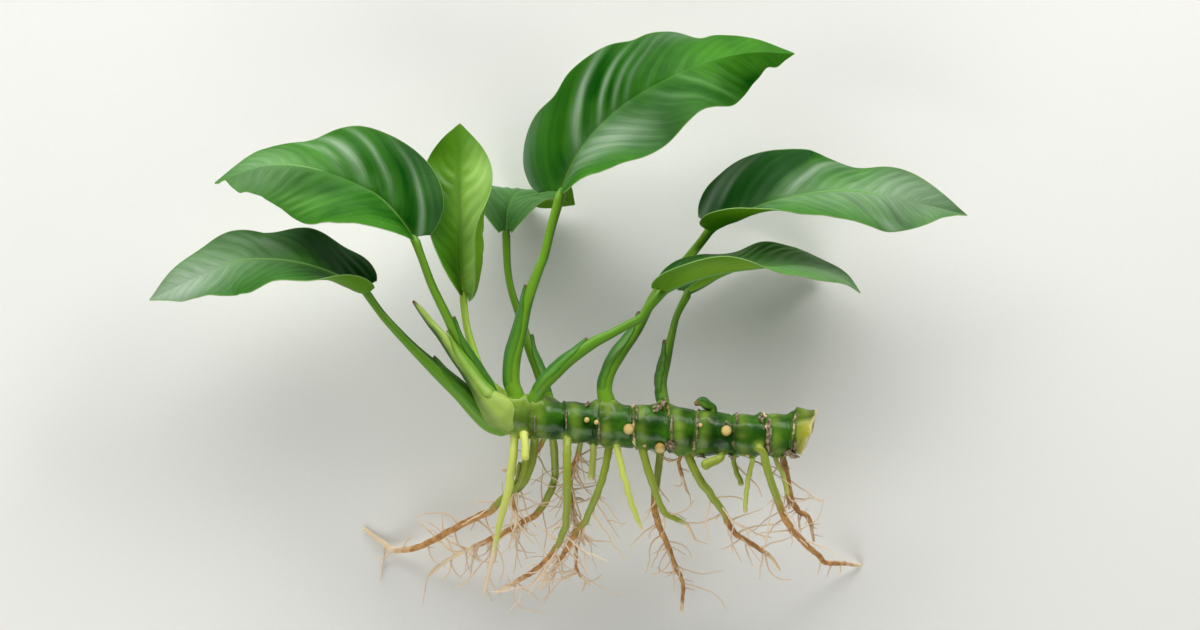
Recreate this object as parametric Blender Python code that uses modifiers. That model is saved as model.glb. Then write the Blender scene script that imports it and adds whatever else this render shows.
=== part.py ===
"""A bare-root anubias, lying on a flat surface as it was lifted.

The plant lies on its back: +X runs along the rhizome from the growing crown to the cut end, +Y is the
way the leaves grew, and +Z is away from the surface that it lies on. Each organ is its own solid: the
rhizome, each petiole, each leaf blade, the young leaf sheath, each root and each large bud.
All the guide points below are in millimetres.
"""

import math

import bmesh
import bpy
from mathutils import Vector

MM = 0.001
GAP = 0.6  # clearance between the rhizome and what grows from it
PLANT_OFFSET = Vector((0.2, 0.8, 0.02))  # centres the whole plant's box over the origin, on the ground

BLADE_THICKNESS = 0.6
BLADE_ROWS = 14  # cells from the base of a blade to its tip
BLADE_COLUMNS = 6  # cells from margin to margin
STALK_WIDTH = 1.0  # half width of a blade where it meets its petiole
TIP_WIDTH = 0.35  # half width of a blade's very tip

LOBE_SPREAD = 0.11  # share of a blade's length over which its base lobes reach back
STUB = 1.2  # how far a root or petiole stands straight out of the rhizome before it bends

RHIZOME_SIDES = 5  # bevel resolutions: 5 gives 14 sides, 2 gives 8 and 1 gives 6
PETIOLE_SIDES = 2
ROOT_SIDES = 1
RHIZOME_STEPS = 40
PETIOLE_STEPS = 12
ROOT_STEPS = 11

# The rhizome's axis, each point with its radius: from the cut end to the growing crown.
RHIZOME = [
    (89, -38.4, 44, 7.9),
    (86, -38.6, 44, 7.6),
    (78, -39.7, 44, 7.0),
    (63, -39.8, 44, 7.2),
    (48, -38.7, 44, 7.9),
    (32, -37.3, 44, 7.5),
    (20, -36.4, 44, 7.4),
    (7, -35.2, 44, 6.8),
    (-6, -34, 44, 6.5),
    (-14, -33.5, 44, 6.6),
    (-19, -32.5, 44, 5.4),
    (-22, -31, 44, 3.2),
    (-23, -30.4, 44, 1.2),
]
RING_PLACES = [82, 72.5, 62, 48, 38.5, 27, 14, 2.5, -8.5]  # leaf scars, by their X
RING_HEIGHT = 0.45
RING_SPREAD = 1.6

# Where each petiole or root of the rhizome's sides leaves it: its X, the angle round the rhizome from +Z
# towards +Y in degrees, and its radius there.
SEATS = {
    "petiole_rear": (-4, 116, 2.2),
    "petiole_top": (-15, 76, 2.8),
    "petiole_right_high": (16.5, 83, 3.0),
    "petiole_right_low": (-8, 62, 2.5),
    "petiole_right_rear": (36.5, 107, 2.3),
    "root_01": (-15.5, -74, 1.5),
    "root_02": (-12, -50, 1.5),
    "root_03": (-8.5, -107, 1.5),
    "root_04": (-2, -115, 1.4),
    "root_05": (3, -55, 1.5),
    "root_06": (17.5, -81, 1.4),
    "root_07": (12, -102, 1.2),
    "root_08": (20.5, -62, 1.2),
    "root_09": (29.5, -69, 1.4),
    "root_10": (35.5, -104, 1.4),
    "root_11": (46, -80, 1.5),
    "root_12": (61.5, -104, 0.9),
    "root_13": (68, -97, 0.9),
    "root_14": (70, -31, 1.4),
    "root_15": (76, -84, 0.9),
    "root_16": (78.5, -115, 1.2),
    "root_17": (42.5, -91, 0.7),
    "root_18": (-5, -127, 1.0),
    "root_19": (7.5, -122, 1.0),
    "root_20": (57, -59, 1.2),
    "root_21": (-11.5, -90, 1.0),
}

# Each petiole's route up to its blade, each point with its radius.
PETIOLES = {
    "left_low": [
        (-28, -31.5, 46, 3.2),
        (-34, -25, 47, 3.1),
        (-42, -17.5, 47.5, 2.6),
        (-51, -9, 48, 1.8),
        (-59.5, 0, 49, 1.5),
        (-63.5, 5, 49.5, 1.4),
        (-67, 10, 50, 1.5),
    ],
    "left_high": [
        (-24.5, -22.5, 45, 2.0),
        (-27, -19, 46.5, 2.0),
        (-31.5, -12.5, 48.5, 2.0),
        (-35, -6.5, 50, 1.8),
        (-39, 2, 52, 1.6),
        (-44, 12.5, 54, 1.5),
        (-47.5, 22, 56, 1.4),
        (-49.5, 27.5, 57, 1.6),
    ],
    "young": [
        (-20, -26, 40, 2.1),
        (-24, -22.5, 40, 2.0),
        (-27.5, -17.5, 40.5, 1.8),
        (-30, -10, 41.5, 1.5),
        (-32.3, -1, 42.5, 1.3),
        (-33.3, 7.5, 44, 1.4),
    ],
    "rear": [
        (-7, -17.5, 39, 2.0),
        (-10, -10, 38, 1.8),
        (-13.5, 1.5, 37, 1.5),
        (-16.5, 10.5, 36, 1.3),
        (-18, 19, 34.5, 1.3),
        (-18.5, 30.5, 33, 1.5),
    ],
    "top": [
        (-16.5, -21, 46, 3.0),
        (-16, -13, 46, 2.9),
        (-13.5, -3.5, 46, 2.5),
        (-11, 7, 46.5, 2.1),
        (-7, 18, 47, 1.7),
        (-5, 23, 47, 1.6),
        (-2.5, 33, 47.5, 1.6),
        (0.5, 43.5, 48, 1.8),
    ],
    "right_high": [
        (16, -23.5, 45, 2.7),
        (17.5, -17.5, 44.5, 2.6),
        (22, -10, 42.5, 2.5),
        (27.5, -2.5, 40.5, 2.0),
        (34.5, 10.5, 38, 1.6),
        (40.5, 17, 37.5, 1.6),
        (46, 23, 38, 1.6),
        (51, 29.3, 40.5, 1.6),
        (52.5, 31.5, 42, 1.7),
    ],
    "right_low": [
        (-5.5, -22, 49.5, 2.5),
        (-1.5, -18, 50, 2.5),
        (4, -13, 50.5, 2.3),
        (12, -7.5, 51, 2.0),
        (18, -4.5, 51.5, 1.6),
        (23.5, -1.5, 51.5, 1.5),
        (29, 1.5, 52, 1.5),
        (32, 5.5, 52.5, 1.6),
        (35.5, 9.5, 53, 1.7),
    ],
    "right_rear": [
        (36, -21.5, 39.5, 2.0),
        (37.5, -14, 38, 1.9),
        (39.5, -5.5, 36.5, 1.4),
        (41.5, 2, 35, 1.2),
        (45, 9, 34, 1.5),
    ],
}

# The pointed sheath in the crown, which wraps the next leaf.
SHEATH = [
    (-22.5, -27.5, 50.5, 3.2),
    (-26, -24, 51, 3.2),
    (-32, -17, 51.5, 2.5),
    (-37.5, -10, 52, 2.0),
    (-42.5, -3, 53, 1.7),
    (-48, 4, 54, 1.2),
    (-50.5, 7, 54.5, 0.5),
]

# Each blade: its midrib from the petiole to the tip, its half width, where it is widest as a share of its
# length, how full its tip is, how far its base lobes reach back, and how its two halves stand. A blade that
# bends over also has the way its upper side faces along it. Tilts are degrees from the resting surface's
# plane at even steps from base to tip, positive towards +Z, for the half on the left and the right of
# someone walking up the midrib. Roll is how much more a half turns from midrib to margin, and curl is how
# much further its margin stands.
# Ripple is the margin's waves: (degrees, waves along the blade, phase).
BLADES = {
    "left_low": {
        "midrib": [(-67.4, 11, 50), (-74, 14, 50.5), (-82, 17.5, 50.5), (-90, 20, 50), (-98, 21.3, 48.5),
                   (-106, 21.5, 47), (-114, 20.6, 45), (-129, 14.5, 41), (-143.5, 7.5, 38)],
        "half_width": 18,
        "widest": 0.3,
        "fullness": 2.3,
        "lobes": (2.5, 3),
        "left_tilt": [35, 66, 57, 44, 47, 42],
        "left_curl": [0, 0, 0, 0, 0, 0],
        "right_tilt": [-45, -47, -50, -49, -32, -18],
        "right_curl": [0, 0, 0, 0, 0, 0],
        "left_ripple": (3, 3, 0.1),
        "right_ripple": (5, 3.3, 0.2),
        "left_roll": [76, 16, 0, 0, 0, 0],
    },
    "left_high": {
        "midrib": [(-50.3, 29, 57), (-55.5, 36.4, 58), (-62.5, 43.4, 58.5), (-69.5, 47.4, 58),
                   (-76.5, 50.4, 57), (-85, 53, 56), (-94, 54.4, 54.5), (-103, 54, 53), (-110, 52, 51.5),
                   (-120, 48.3, 49)],
        "half_width": 22,
        "widest": 0.27,
        "fullness": 2.2,
        "lobes": (1.5, 5.5),
        "left_tilt": [78, 62, 35, 8, 15, 40],
        "left_curl": [0, 0, 0, 0, 0, 0],
        "right_tilt": [-5, -20, -20, -51, -58, -50],
        "right_curl": [0, 0, 0, 0, 0, 0],
        "left_ripple": (1.5, 3, 0.1),
        "right_ripple": (2, 3, 0.75),
    },
    "young": {
        "midrib": [(-33.3, 9.3, 44.5), (-34.2, 18, 45.5), (-34.6, 28.5, 46), (-34.9, 42.5, 46),
                   (-34.9, 60, 44.5), (-34.5, 69.3, 43)],
        "half_width": 13.5,
        "widest": 0.5,
        "fullness": 3,
        "lobes": (0, 2.5),
        "left_tilt": [76, 58, 38, 25, 8, 30],
        "left_curl": [0, 0, 0, 0, 0, 0],
        "right_tilt": [5, 5, 8, 20, 10, 0],
        "right_curl": [55, 60, 55, 10, 0, 0],
        "left_ripple": (0, 1, 0.0),
        "right_ripple": (0, 1, 0.0),
    },
    "rear": {
        "midrib": [(-18.5, 31.8, 34), (-18, 39, 30.5), (-16, 44.5, 24), (-12.5, 46.6, 18), (-8, 46.2, 13),
                   (-1, 44.3, 9), (5.5, 41.5, 6)],
        "facing": [(0, 0.4, 1), (0, 0.9, 0.6), (0, 1, -0.2), (0, 0.6, -1)],
        "half_width": 18,
        "widest": 0.4,
        "fullness": 2.3,
        "lobes": (3, 3),
        "left_tilt": [60, 28, 0, 0, 10, 20],
        "left_curl": [0, 0, 0, 0, 0, 0],
        "right_tilt": [60, 28, 2, 0, 0, 0],
        "right_curl": [0, 0, 0, 0, 0, 0],
        "left_ripple": (5, 2, 0.1),
        "right_ripple": (5, 2, 0.2),
    },
    "top": {
        "midrib": [(0.6, 45.3, 48), (5, 55.7, 49), (10.2, 63.7, 50), (16.6, 70.5, 50.5), (23, 75.8, 51),
                   (30.4, 80.6, 51), (37.8, 84.5, 51), (45.2, 88, 50.5), (52.7, 90.9, 50), (61, 93, 49),
                   (69.6, 94.1, 48), (82.5, 93.7, 45)],
        "half_width": 21.5,
        "widest": 0.3,
        "fullness": 2.8,
        "lobes": (4, 0),
        "left_tilt": [5, 5, -18, -38, -56, -55],
        "left_curl": [0, 0, 0, 0, 0, 0],
        "right_tilt": [78, 36, 22, 32, 0, 20],
        "right_curl": [0, 0, 0, 0, 0, 0],
        "left_ripple": (7, 3.5, 0.1),
        "right_ripple": (7, 3, 0.66),
    },
    "right_high": {
        "midrib": [(53.4, 32.4, 43), (60, 35.6, 44.5), (69.5, 40.2, 46), (76, 42.4, 47), (83.5, 44, 47.5),
                   (91, 45, 48), (101, 45.6, 47), (110, 44.6, 45), (119.5, 42.9, 42.5), (131, 40.4, 39.5),
                   (143.3, 37.2, 37)],
        "half_width": 19,
        "widest": 0.28,
        "fullness": 2.3,
        "lobes": (2.8, 2.2),
        "left_tilt": [-14, -16, -36, -57, -18, -8],
        "left_curl": [0, 0, 0, 0, 0, 0],
        "right_tilt": [58, 62, 66, 43, 16, 78],
        "right_curl": [0, 0, 0, 0, 0, 0],
        "left_ripple": (2, 3, 0.1),
        "right_ripple": (2, 3, 0.6),
        "right_roll": [64, 26, 0, 0, 0, 0],
    },
    "right_low": {
        "midrib": [(36.4, 10.4, 53), (44.3, 14, 54), (52.7, 16.5, 55), (59, 17.7, 55), (67, 18.6, 54.5),
                   (75, 19.3, 53.5), (84.5, 19.6, 51.5), (93.3, 17.7, 49), (100.3, 14.5, 47),
                   (105.5, 10, 45)],
        "half_width": 16,
        "widest": 0.32,
        "fullness": 2.3,
        "lobes": (2.5, 3.0),
        "left_tilt": [-50, -60, -66, -54, -66, -60],
        "left_curl": [0, 0, 0, 0, 0, 0],
        "right_tilt": [124, 111, 101, 72, 70, 74],
        "right_curl": [0, 0, 0, 0, 0, 0],
        "left_ripple": (3, 2.5, 0),
        "right_ripple": (2, 3, 0.4),
    },
    "right_rear": {
        "midrib": [(45.5, 10.5, 33.5), (50.6, 12.8, 30), (57, 16.4, 26), (65.5, 19.2, 20), (75, 20.5, 13.5),
                   (86, 19.5, 7), (95, 16, 2.5)],
        "half_width": 12,
        "widest": 0.36,
        "fullness": 2.3,
        "lobes": (2, 2),
        "left_tilt": [-60, -66, -66, -60, -60, -60],
        "left_curl": [0, 0, 0, 0, 0, 0],
        "right_tilt": [85, 84, 84, 84, 84, 80],
        "right_curl": [20, 8, 0, 0, 0, 0],
        "left_ripple": (4, 2, 0.1),
        "right_ripple": (4, 2, 0.2),
    },
}
NO_ROLL = [0, 0]

# Each root's route from the rhizome outwards, each point with its radius.
ROOTS = {
    "root_01": [(-16, -48.5, 48, 1.5), (-17.5, -59, 47, 1.4), (-19.5, -66, 44, 1.3), (-21.5, -75, 38, 1.0),
                (-23.5, -84, 31, 0.8), (-26.5, -96.5, 21, 0.4)],
    "root_02": [(-11.5, -43.5, 51, 1.4), (-11.5, -47.5, 52, 1.4)],
    "root_03": [(-9.5, -49.5, 40, 1.5), (-13, -57.5, 38, 1.3), (-19, -61.5, 35, 1.3), (-24, -66.5, 31, 1.3),
                (-34, -71.5, 23, 1.2), (-48.5, -79.5, 10, 1.1), (-58, -81.5, 3.5, 1.0),
                (-63.5, -78.5, 1.2, 0.8), (-69.5, -74, 0.6, 0.6)],
    "root_03_branch": [(-13.6, -50, 36.5, 0.9), (-14.5, -55, 34.5, 0.8), (-17, -61, 32.5, 0.5)],
    "root_04": [(-1.5, -46.5, 37.5, 1.4), (-1.5, -55.5, 33, 1.3), (-4, -62, 30, 1.3), (-8, -68, 27, 1.2),
                (-13, -71, 24, 1.1), (-19, -74.5, 20, 1.1), (-26, -78, 15, 1.0), (-31.5, -80.5, 11, 0.8),
                (-37.5, -83.5, 8, 0.7), (-42, -86.5, 5, 0.6), (-46, -90.5, 2.5, 0.4)],
    "root_05": [(3, -44, 50.5, 1.5), (3, -52.5, 51.5, 1.5), (3, -62.5, 49, 1.4), (2.5, -70.5, 45, 1.3),
                (1, -75.5, 42, 1.2), (-2, -81, 38, 1.1), (-7, -86.5, 33, 1.0), (-13, -90.5, 27, 0.9),
                (-22.5, -96, 20, 0.5)],
    "root_06": [(15.5, -54.5, 45, 1.3), (13, -61.5, 43, 1.3), (9.5, -69.5, 39, 1.2), (5.5, -75, 36, 1.1),
                (3.5, -79, 33, 0.9), (-0.5, -85, 27, 0.7), (-7.5, -95, 18, 0.4)],
    "root_06_branch": [(6, -80, 32, 0.6), (6.5, -88, 27, 0.5), (10.5, -93, 22, 0.35)],
    "root_07": [(12, -48.5, 41, 1.2), (11.5, -55, 40, 1.2)],
    "root_08": [(23.5, -56.5, 48, 1.1), (26.5, -66.5, 45, 1.0), (29, -72.5, 42, 0.7)],
    "root_09": [(32, -54, 46.5, 1.4), (34.5, -61.5, 44, 1.2), (37, -66.5, 42, 1.1), (40.5, -69, 40, 1.0),
                (44.5, -71, 38, 0.8), (46, -73, 36, 0.6), (48, -77, 33, 0.4)],
    "root_10": [(34.5, -55.5, 39, 1.3), (33.5, -62.5, 37, 1.2), (34, -67.5, 35, 1.2), (35.5, -72.5, 32, 1.1),
                (38, -78, 27, 1.0), (40.5, -85, 21, 0.9), (43, -90.5, 15, 0.8), (44, -94.5, 11, 0.7),
                (43.5, -103, 5, 0.6)],
    "root_11": [(49.5, -55.5, 45, 1.5), (53.5, -61, 43, 1.4), (57.5, -66.5, 40, 1.2), (61, -73.5, 36, 1.0),
                (66, -77, 33, 0.9), (72, -81, 28, 0.8), (75.5, -84, 24, 0.7), (78, -88, 20, 0.4)],
    "root_12": [(62.5, -53, 41, 0.9), (64, -57, 40, 1.0)],
    "root_13": [(66, -57.5, 41, 0.9), (65.5, -66.5, 38, 0.8)],
    "root_14": [(71.5, -46, 51, 1.4), (73.5, -53.5, 49.5, 1.4), (78, -66, 43, 1.3), (81.5, -72.5, 37, 1.2),
                (87, -78.5, 28, 1.1), (92, -83, 20, 1.0), (94.5, -85.5, 15, 0.9), (100.5, -86, 7.5, 0.8),
                (107.5, -87, 0.5, 0.6)],
    "root_15": [(78, -52.5, 43.5, 0.9), (80, -59.5, 41.5, 0.8), (81, -65.5, 39, 0.5)],
    "root_16": [(80, -54, 37, 1.2), (81.5, -61.5, 34, 1.1), (84, -66.5, 31, 1.0), (87.5, -68.5, 28, 0.9),
                (89, -72, 25, 0.8), (90, -77.5, 21, 0.5)],
    "root_17": [(42, -49.5, 43, 0.7), (43.5, -55, 42, 0.6), (44.5, -58, 41, 0.4)],
    "root_18": [(-8, -46, 34, 0.9), (-14, -51, 30, 0.7), (-19.5, -52.5, 28, 0.8)],
    "root_19": [(6.5, -48, 36, 1.0), (5, -51.5, 34, 1.0), (4, -59.5, 32, 0.8), (6, -70, 28, 0.6),
                (9, -79, 23, 0.4)],
    "root_20": [(56, -47.9, 50, 1.5), (51.2, -50.1, 50.5, 1.8)],
    "root_21": [(-11.5, -47, 44.5, 1.0), (-13, -55.5, 43, 1.0), (-16, -60.5, 40, 0.8), (-15, -69.5, 34, 0.6),
                (-16.5, -76.5, 28, 0.4)],
}

# Rounded buds on the rhizome: X, the angle round it from +Z towards +Y, and the bud's radius.
BUDS = {
    "bud_front": (24.5, -5, 1.9),
    "bud_lower": (35.5, -47, 1.9),
    "bud_right": (58.5, 10, 1.9),
}
SHOOT_SEAT = (54, 78, 1.2)
SHOOT_BUD = [(52.3, -28.2, 46.2, 1.3), (49.8, -27.2, 46.6, 1.2), (47.9, -28.1, 46.4, 0.7)]

COLOURS = {
    "rhizome": ((0.07, 0.19, 0.03), 0.4),
    "petiole": ((0.16, 0.33, 0.04), 0.42),
    "sheath": ((0.2, 0.38, 0.05), 0.45),
    "blade": ((0.04, 0.17, 0.04), 0.35),
    "young_blade": ((0.26, 0.47, 0.04), 0.4),
    "root": ((0.42, 0.28, 0.12), 0.6),
    "green_root": ((0.3, 0.42, 0.08), 0.5),
    "bud": ((0.55, 0.4, 0.12), 0.5),
}
GREEN_ROOTS = ("root_01", "root_02", "root_07", "root_08", "root_13", "root_15", "root_20")


def clear_scene():
    for old in list(bpy.data.objects):
        bpy.data.objects.remove(old)


def material(name):
    colour, roughness = COLOURS[name]
    made = bpy.data.materials.get(name)
    if made is None:
        made = bpy.data.materials.new(name)
        made.use_nodes = True
        shader = made.node_tree.nodes["Principled BSDF"]
        shader.inputs["Base Color"].default_value = (*colour, 1.0)
        shader.inputs["Roughness"].default_value = roughness
        shader.inputs["Metallic"].default_value = 0.0
    return made


def through(values, share):
    """The value at a share of the way along evenly spaced values, on a smooth curve through them."""
    spans = len(values) - 1
    place = min(max(share, 0.0), 1.0) * spans
    index = min(int(place), spans - 1)
    f = place - index
    before = values[max(index - 1, 0)]
    start = values[index]
    end = values[index + 1]
    after = values[min(index + 2, spans)]
    return 0.5 * (
        2 * start
        + (end - before) * f
        + (2 * before - 5 * start + 4 * end - after) * f * f
        + (3 * start - before - 3 * end + after) * f * f * f
    )


def even_route(points, steps):
    """Points of a smooth curve through the guide points, spaced evenly by length, each a 4-vector."""
    guides = [Vector(p) for p in points]
    fine = [through(guides, i / 400) for i in range(401)]
    lengths = [0.0]
    for before, after in zip(fine, fine[1:]):
        lengths.append(lengths[-1] + (after.xyz - before.xyz).length)
    route = []
    index = 0
    for step in range(steps + 1):
        target = lengths[-1] * step / steps
        while index < len(fine) - 2 and lengths[index + 1] < target:
            index += 1
        span = lengths[index + 1] - lengths[index]
        route.append(fine[index].lerp(fine[index + 1], (target - lengths[index]) / span))
    return route


def add_tube(name, route, sides, made_of, collection):
    """A solid of round sections along a route of (x, y, z, radius) in millimetres, placed by its start."""
    curve = bpy.data.curves.new(name, "CURVE")
    curve.dimensions = "3D"
    curve.bevel_depth = MM
    curve.bevel_resolution = sides
    curve.use_fill_caps = True
    spline = curve.splines.new("POLY")
    spline.points.add(len(route) - 1)
    for point, station in zip(spline.points, route):
        point.co = (*((station.xyz - route[0].xyz) * MM), 1.0)
        point.radius = station.w
    spline.use_smooth = True
    tube = bpy.data.objects.new(name, curve)
    tube.location = (route[0].xyz + PLANT_OFFSET) * MM
    curve.materials.append(material(made_of))
    collection.objects.link(tube)
    return tube


def ringed_radius(x, radius):
    """The rhizome's radius at X, with the low swellings where leaves once stood."""
    rings = (math.exp(-(((x - place) / RING_SPREAD) ** 2)) for place in RING_PLACES)
    return radius + RING_HEIGHT * sum(rings)


def rhizome_route():
    route = even_route(RHIZOME, RHIZOME_STEPS)
    for station in route:
        station.w = ringed_radius(station.x, station.w)
    return route


def on_rhizome(x, clock, height):
    """A point at a height over the rhizome's skin, and the direction straight out of it."""
    fine = even_route(RHIZOME, 400)
    axis = min(fine, key=lambda station: abs(station.x - x))
    out = Vector((0, math.sin(math.radians(clock)), math.cos(math.radians(clock))))
    return axis.xyz + (ringed_radius(axis.x, axis.w) + height) * out, out


def seated_route(seat, guides, steps):
    """A route that stands straight out of the rhizome's skin for a little and then follows its guides."""
    x, clock, radius = seat
    start, out = on_rhizome(x, clock, GAP)
    bend = start + STUB * out
    first = Vector((*start, radius))
    return [first] + even_route([(*bend, radius)] + guides, steps)


def half_width(blade, share):
    """Half the blade's width at a share of its length: a blunt round base and a long drawn-out tip."""
    widest = blade["widest"]
    if share < widest:
        full = (1 - (1 - share / widest) ** 2.4) ** 0.4
        least = STALK_WIDTH
    else:
        full = (1 - ((share - widest) / (1 - widest)) ** blade["fullness"]) ** 1.05
        least = TIP_WIDTH
    return max(blade["half_width"] * full, least)


def blade_point(blade, midrib, share, across):
    """A point of the blade's middle surface, with across from -1, the right margin, to 1, the left one."""
    here = through(midrib, share)
    step = 0.01
    along = (through(midrib, share + step) - through(midrib, share - step)).normalized()
    facing = [Vector(direction) for direction in blade.get("facing", [(0, 0, 1), (0, 0, 1)])]
    left = through(facing, share).cross(along).normalized()
    up = along.cross(left)
    side = "left" if across >= 0 else "right"
    out = abs(across)
    swing, waves, phase = blade[side + "_ripple"]
    ripple = swing * out * out * math.sin(2 * math.pi * (waves * share + phase))
    tilt = through(blade[side + "_tilt"], share)
    curl = through(blade[side + "_curl"], share)
    roll = through(blade.get(side + "_roll", NO_ROLL), share)
    angle = math.radians(tilt + roll * out + curl * out**3 + ripple)
    outward = left if across >= 0 else -left
    reach = half_width(blade, share) * out
    lobe = blade["lobes"][0 if across >= 0 else 1]
    back = lobe * out**1.5 * math.exp(-((share / LOBE_SPREAD) ** 2)) * min(share / 0.02, 1)
    return here + reach * (math.cos(angle) * outward + math.sin(angle) * up) - back * along


def add_blade(name, blade, made_of, collection):
    midrib = [point.xyz for point in even_route([(*p, 0) for p in blade["midrib"]], 24)]
    mesh = bpy.data.meshes.new(name)
    grid = bmesh.new()
    bmesh.ops.create_grid(grid, x_segments=BLADE_ROWS, y_segments=BLADE_COLUMNS, size=1)
    for vertex in grid.verts:
        along = (vertex.co.x + 1) / 2
        share = 0.55 * along + 0.45 * (1 - math.cos(math.pi * along)) / 2
        place = blade_point(blade, midrib, share, vertex.co.y)
        vertex.co = (place - midrib[0]) * MM
    grid.to_mesh(mesh)
    grid.free()
    mesh.shade_smooth()
    mesh.materials.append(material(made_of))
    leaf = bpy.data.objects.new(name, mesh)
    leaf.location = (midrib[0] + PLANT_OFFSET) * MM
    collection.objects.link(leaf)
    skin = leaf.modifiers.new("thickness", "SOLIDIFY")
    skin.thickness = BLADE_THICKNESS * MM
    skin.offset = 0
    return leaf


def add_bud(name, seat, collection):
    x, clock, radius = seat
    centre, out = on_rhizome(x, clock, GAP + radius)
    mesh = bpy.data.meshes.new(name)
    ball = bmesh.new()
    bmesh.ops.create_uvsphere(ball, u_segments=10, v_segments=6, radius=radius * MM)
    ball.to_mesh(mesh)
    ball.free()
    mesh.shade_smooth()
    mesh.materials.append(material("bud"))
    bud = bpy.data.objects.new(name, mesh)
    bud.location = (centre + PLANT_OFFSET) * MM
    bud.rotation_euler = out.to_track_quat("Z", "Y").to_euler()
    collection.objects.link(bud)
    return bud


def main():
    clear_scene()
    plant = bpy.data.collections.new("anubias")
    bpy.context.scene.collection.children.link(plant)
    add_tube("rhizome", rhizome_route(), RHIZOME_SIDES, "rhizome", plant)
    for place, guides in PETIOLES.items():
        name = "petiole_" + place
        seat = SEATS.get(name)
        route = seated_route(seat, guides, PETIOLE_STEPS) if seat else even_route(guides, PETIOLE_STEPS)
        add_tube(name, route, PETIOLE_SIDES, "petiole", plant)
    add_tube("young_sheath", even_route(SHEATH, PETIOLE_STEPS), PETIOLE_SIDES, "sheath", plant)
    for place, blade in BLADES.items():
        add_blade("blade_" + place, blade, "young_blade" if place == "young" else "blade", plant)
    for name, guides in ROOTS.items():
        made_of = "green_root" if name in GREEN_ROOTS else "root"
        steps = max(3, min(ROOT_STEPS, 2 * len(guides)))
        seat = SEATS.get(name)
        route = seated_route(seat, guides, steps) if seat else even_route(guides, steps)
        add_tube(name, route, ROOT_SIDES, made_of, plant)
    for name, seat in BUDS.items():
        add_bud(name, seat, plant)
    add_tube("shoot_bud", seated_route(SHOOT_SEAT, SHOOT_BUD, 4), PETIOLE_SIDES, "bud", plant)


main()
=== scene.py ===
"""The looks of a bare-root anubias, lying on a flat surface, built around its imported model.

Lengths in the tables are in millimetres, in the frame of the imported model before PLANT_OFFSET.
"""

import math
import random

import bmesh
import bpy
from bpy.props import FloatProperty, FloatVectorProperty, IntProperty, PointerProperty
from mathutils import Matrix, Vector, noise


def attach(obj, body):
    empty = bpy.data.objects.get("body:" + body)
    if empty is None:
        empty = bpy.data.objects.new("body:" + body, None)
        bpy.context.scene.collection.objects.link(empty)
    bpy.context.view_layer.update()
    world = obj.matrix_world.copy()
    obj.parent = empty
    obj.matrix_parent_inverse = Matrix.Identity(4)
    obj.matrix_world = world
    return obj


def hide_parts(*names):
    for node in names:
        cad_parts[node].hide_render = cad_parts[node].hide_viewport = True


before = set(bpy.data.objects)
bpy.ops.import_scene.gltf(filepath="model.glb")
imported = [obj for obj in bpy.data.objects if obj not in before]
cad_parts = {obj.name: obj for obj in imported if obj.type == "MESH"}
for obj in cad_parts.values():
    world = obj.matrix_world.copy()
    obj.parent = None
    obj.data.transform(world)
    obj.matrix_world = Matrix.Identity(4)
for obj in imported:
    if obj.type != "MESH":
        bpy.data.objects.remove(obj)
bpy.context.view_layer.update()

bl_info = {
    "name": "Anubias plant",
    "version": (1, 0, 0),
    "blender": (4, 5, 0),
    "location": "3D View > Sidebar > Anubias",
    "description": "Builds a bare-root anubias, organ by organ, around its packed model",
    "category": "Add Mesh",
}

MM = 0.001
PLANT_OFFSET = Vector((0.2, 0.8, 0.02))  # from the guide tables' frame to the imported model's
BODY = "root"

STALK_WIDTH = 1.0  # half width of a blade where it meets its stalk
TIP_WIDTH = 0.35
LOBE_SPREAD = 0.11  # share of a blade's length over which its base lobes reach back
STUB = 1.2  # how far a root stands straight out of the rhizome before it bends
MIDRIB_STEPS = 24
STALK_STEPS = 60
SHEATH_STEPS = 90
USUAL_RADIUS = 7.2  # of the rhizome, to turn an angle round it into a length on its skin
LOWEST_ROOTLET = 1.0  # side roots stay this far above the resting surface
BARK_LENGTH = 330  # the length of brown root that the random side roots are shared out over
LONG_ENOUGH = 13  # a side root longer than this may fork
CAMERA_PLACE = (0.0147, 0.00308, 2.377)  # in metres
CAMERA_LENS = 200
LIT_POINT = (0, 0, 0.04)  # what the light panels face, in metres
STUDIO_STRENGTH = 0.72

# The rhizome's axis, each point with its radius: from the cut end to the growing crown.
RHIZOME = [
    (89, -38.9, 44, 7.1), (86, -38.9, 44, 7.0), (78, -39.7, 44, 7.0), (63, -39.8, 44, 7.2),
    (48, -38.7, 44, 7.9), (32, -37.3, 44, 7.5), (20, -36.4, 44, 7.4), (7, -35.2, 44, 6.8),
    (-6, -34, 44, 6.5), (-14, -33.5, 44, 6.6), (-19, -32.5, 44, 5.4), (-22, -31, 44, 3.2),
    (-23, -30.4, 44, 1.2),
]
# The rings of leaf scars: each one's X, and how corky it is.
RING_PLACES = [82, 72.5, 62, 48, 38.5, 27, 14, 2.5, -8.5]
RING_CORK = [0.95, 1.1, 0.6, 0.8, 0.75, 0.9, 0.5, 0.5, 0.6]
RING_HEIGHT = 0.45
RING_SPREAD = 1.6

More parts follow.
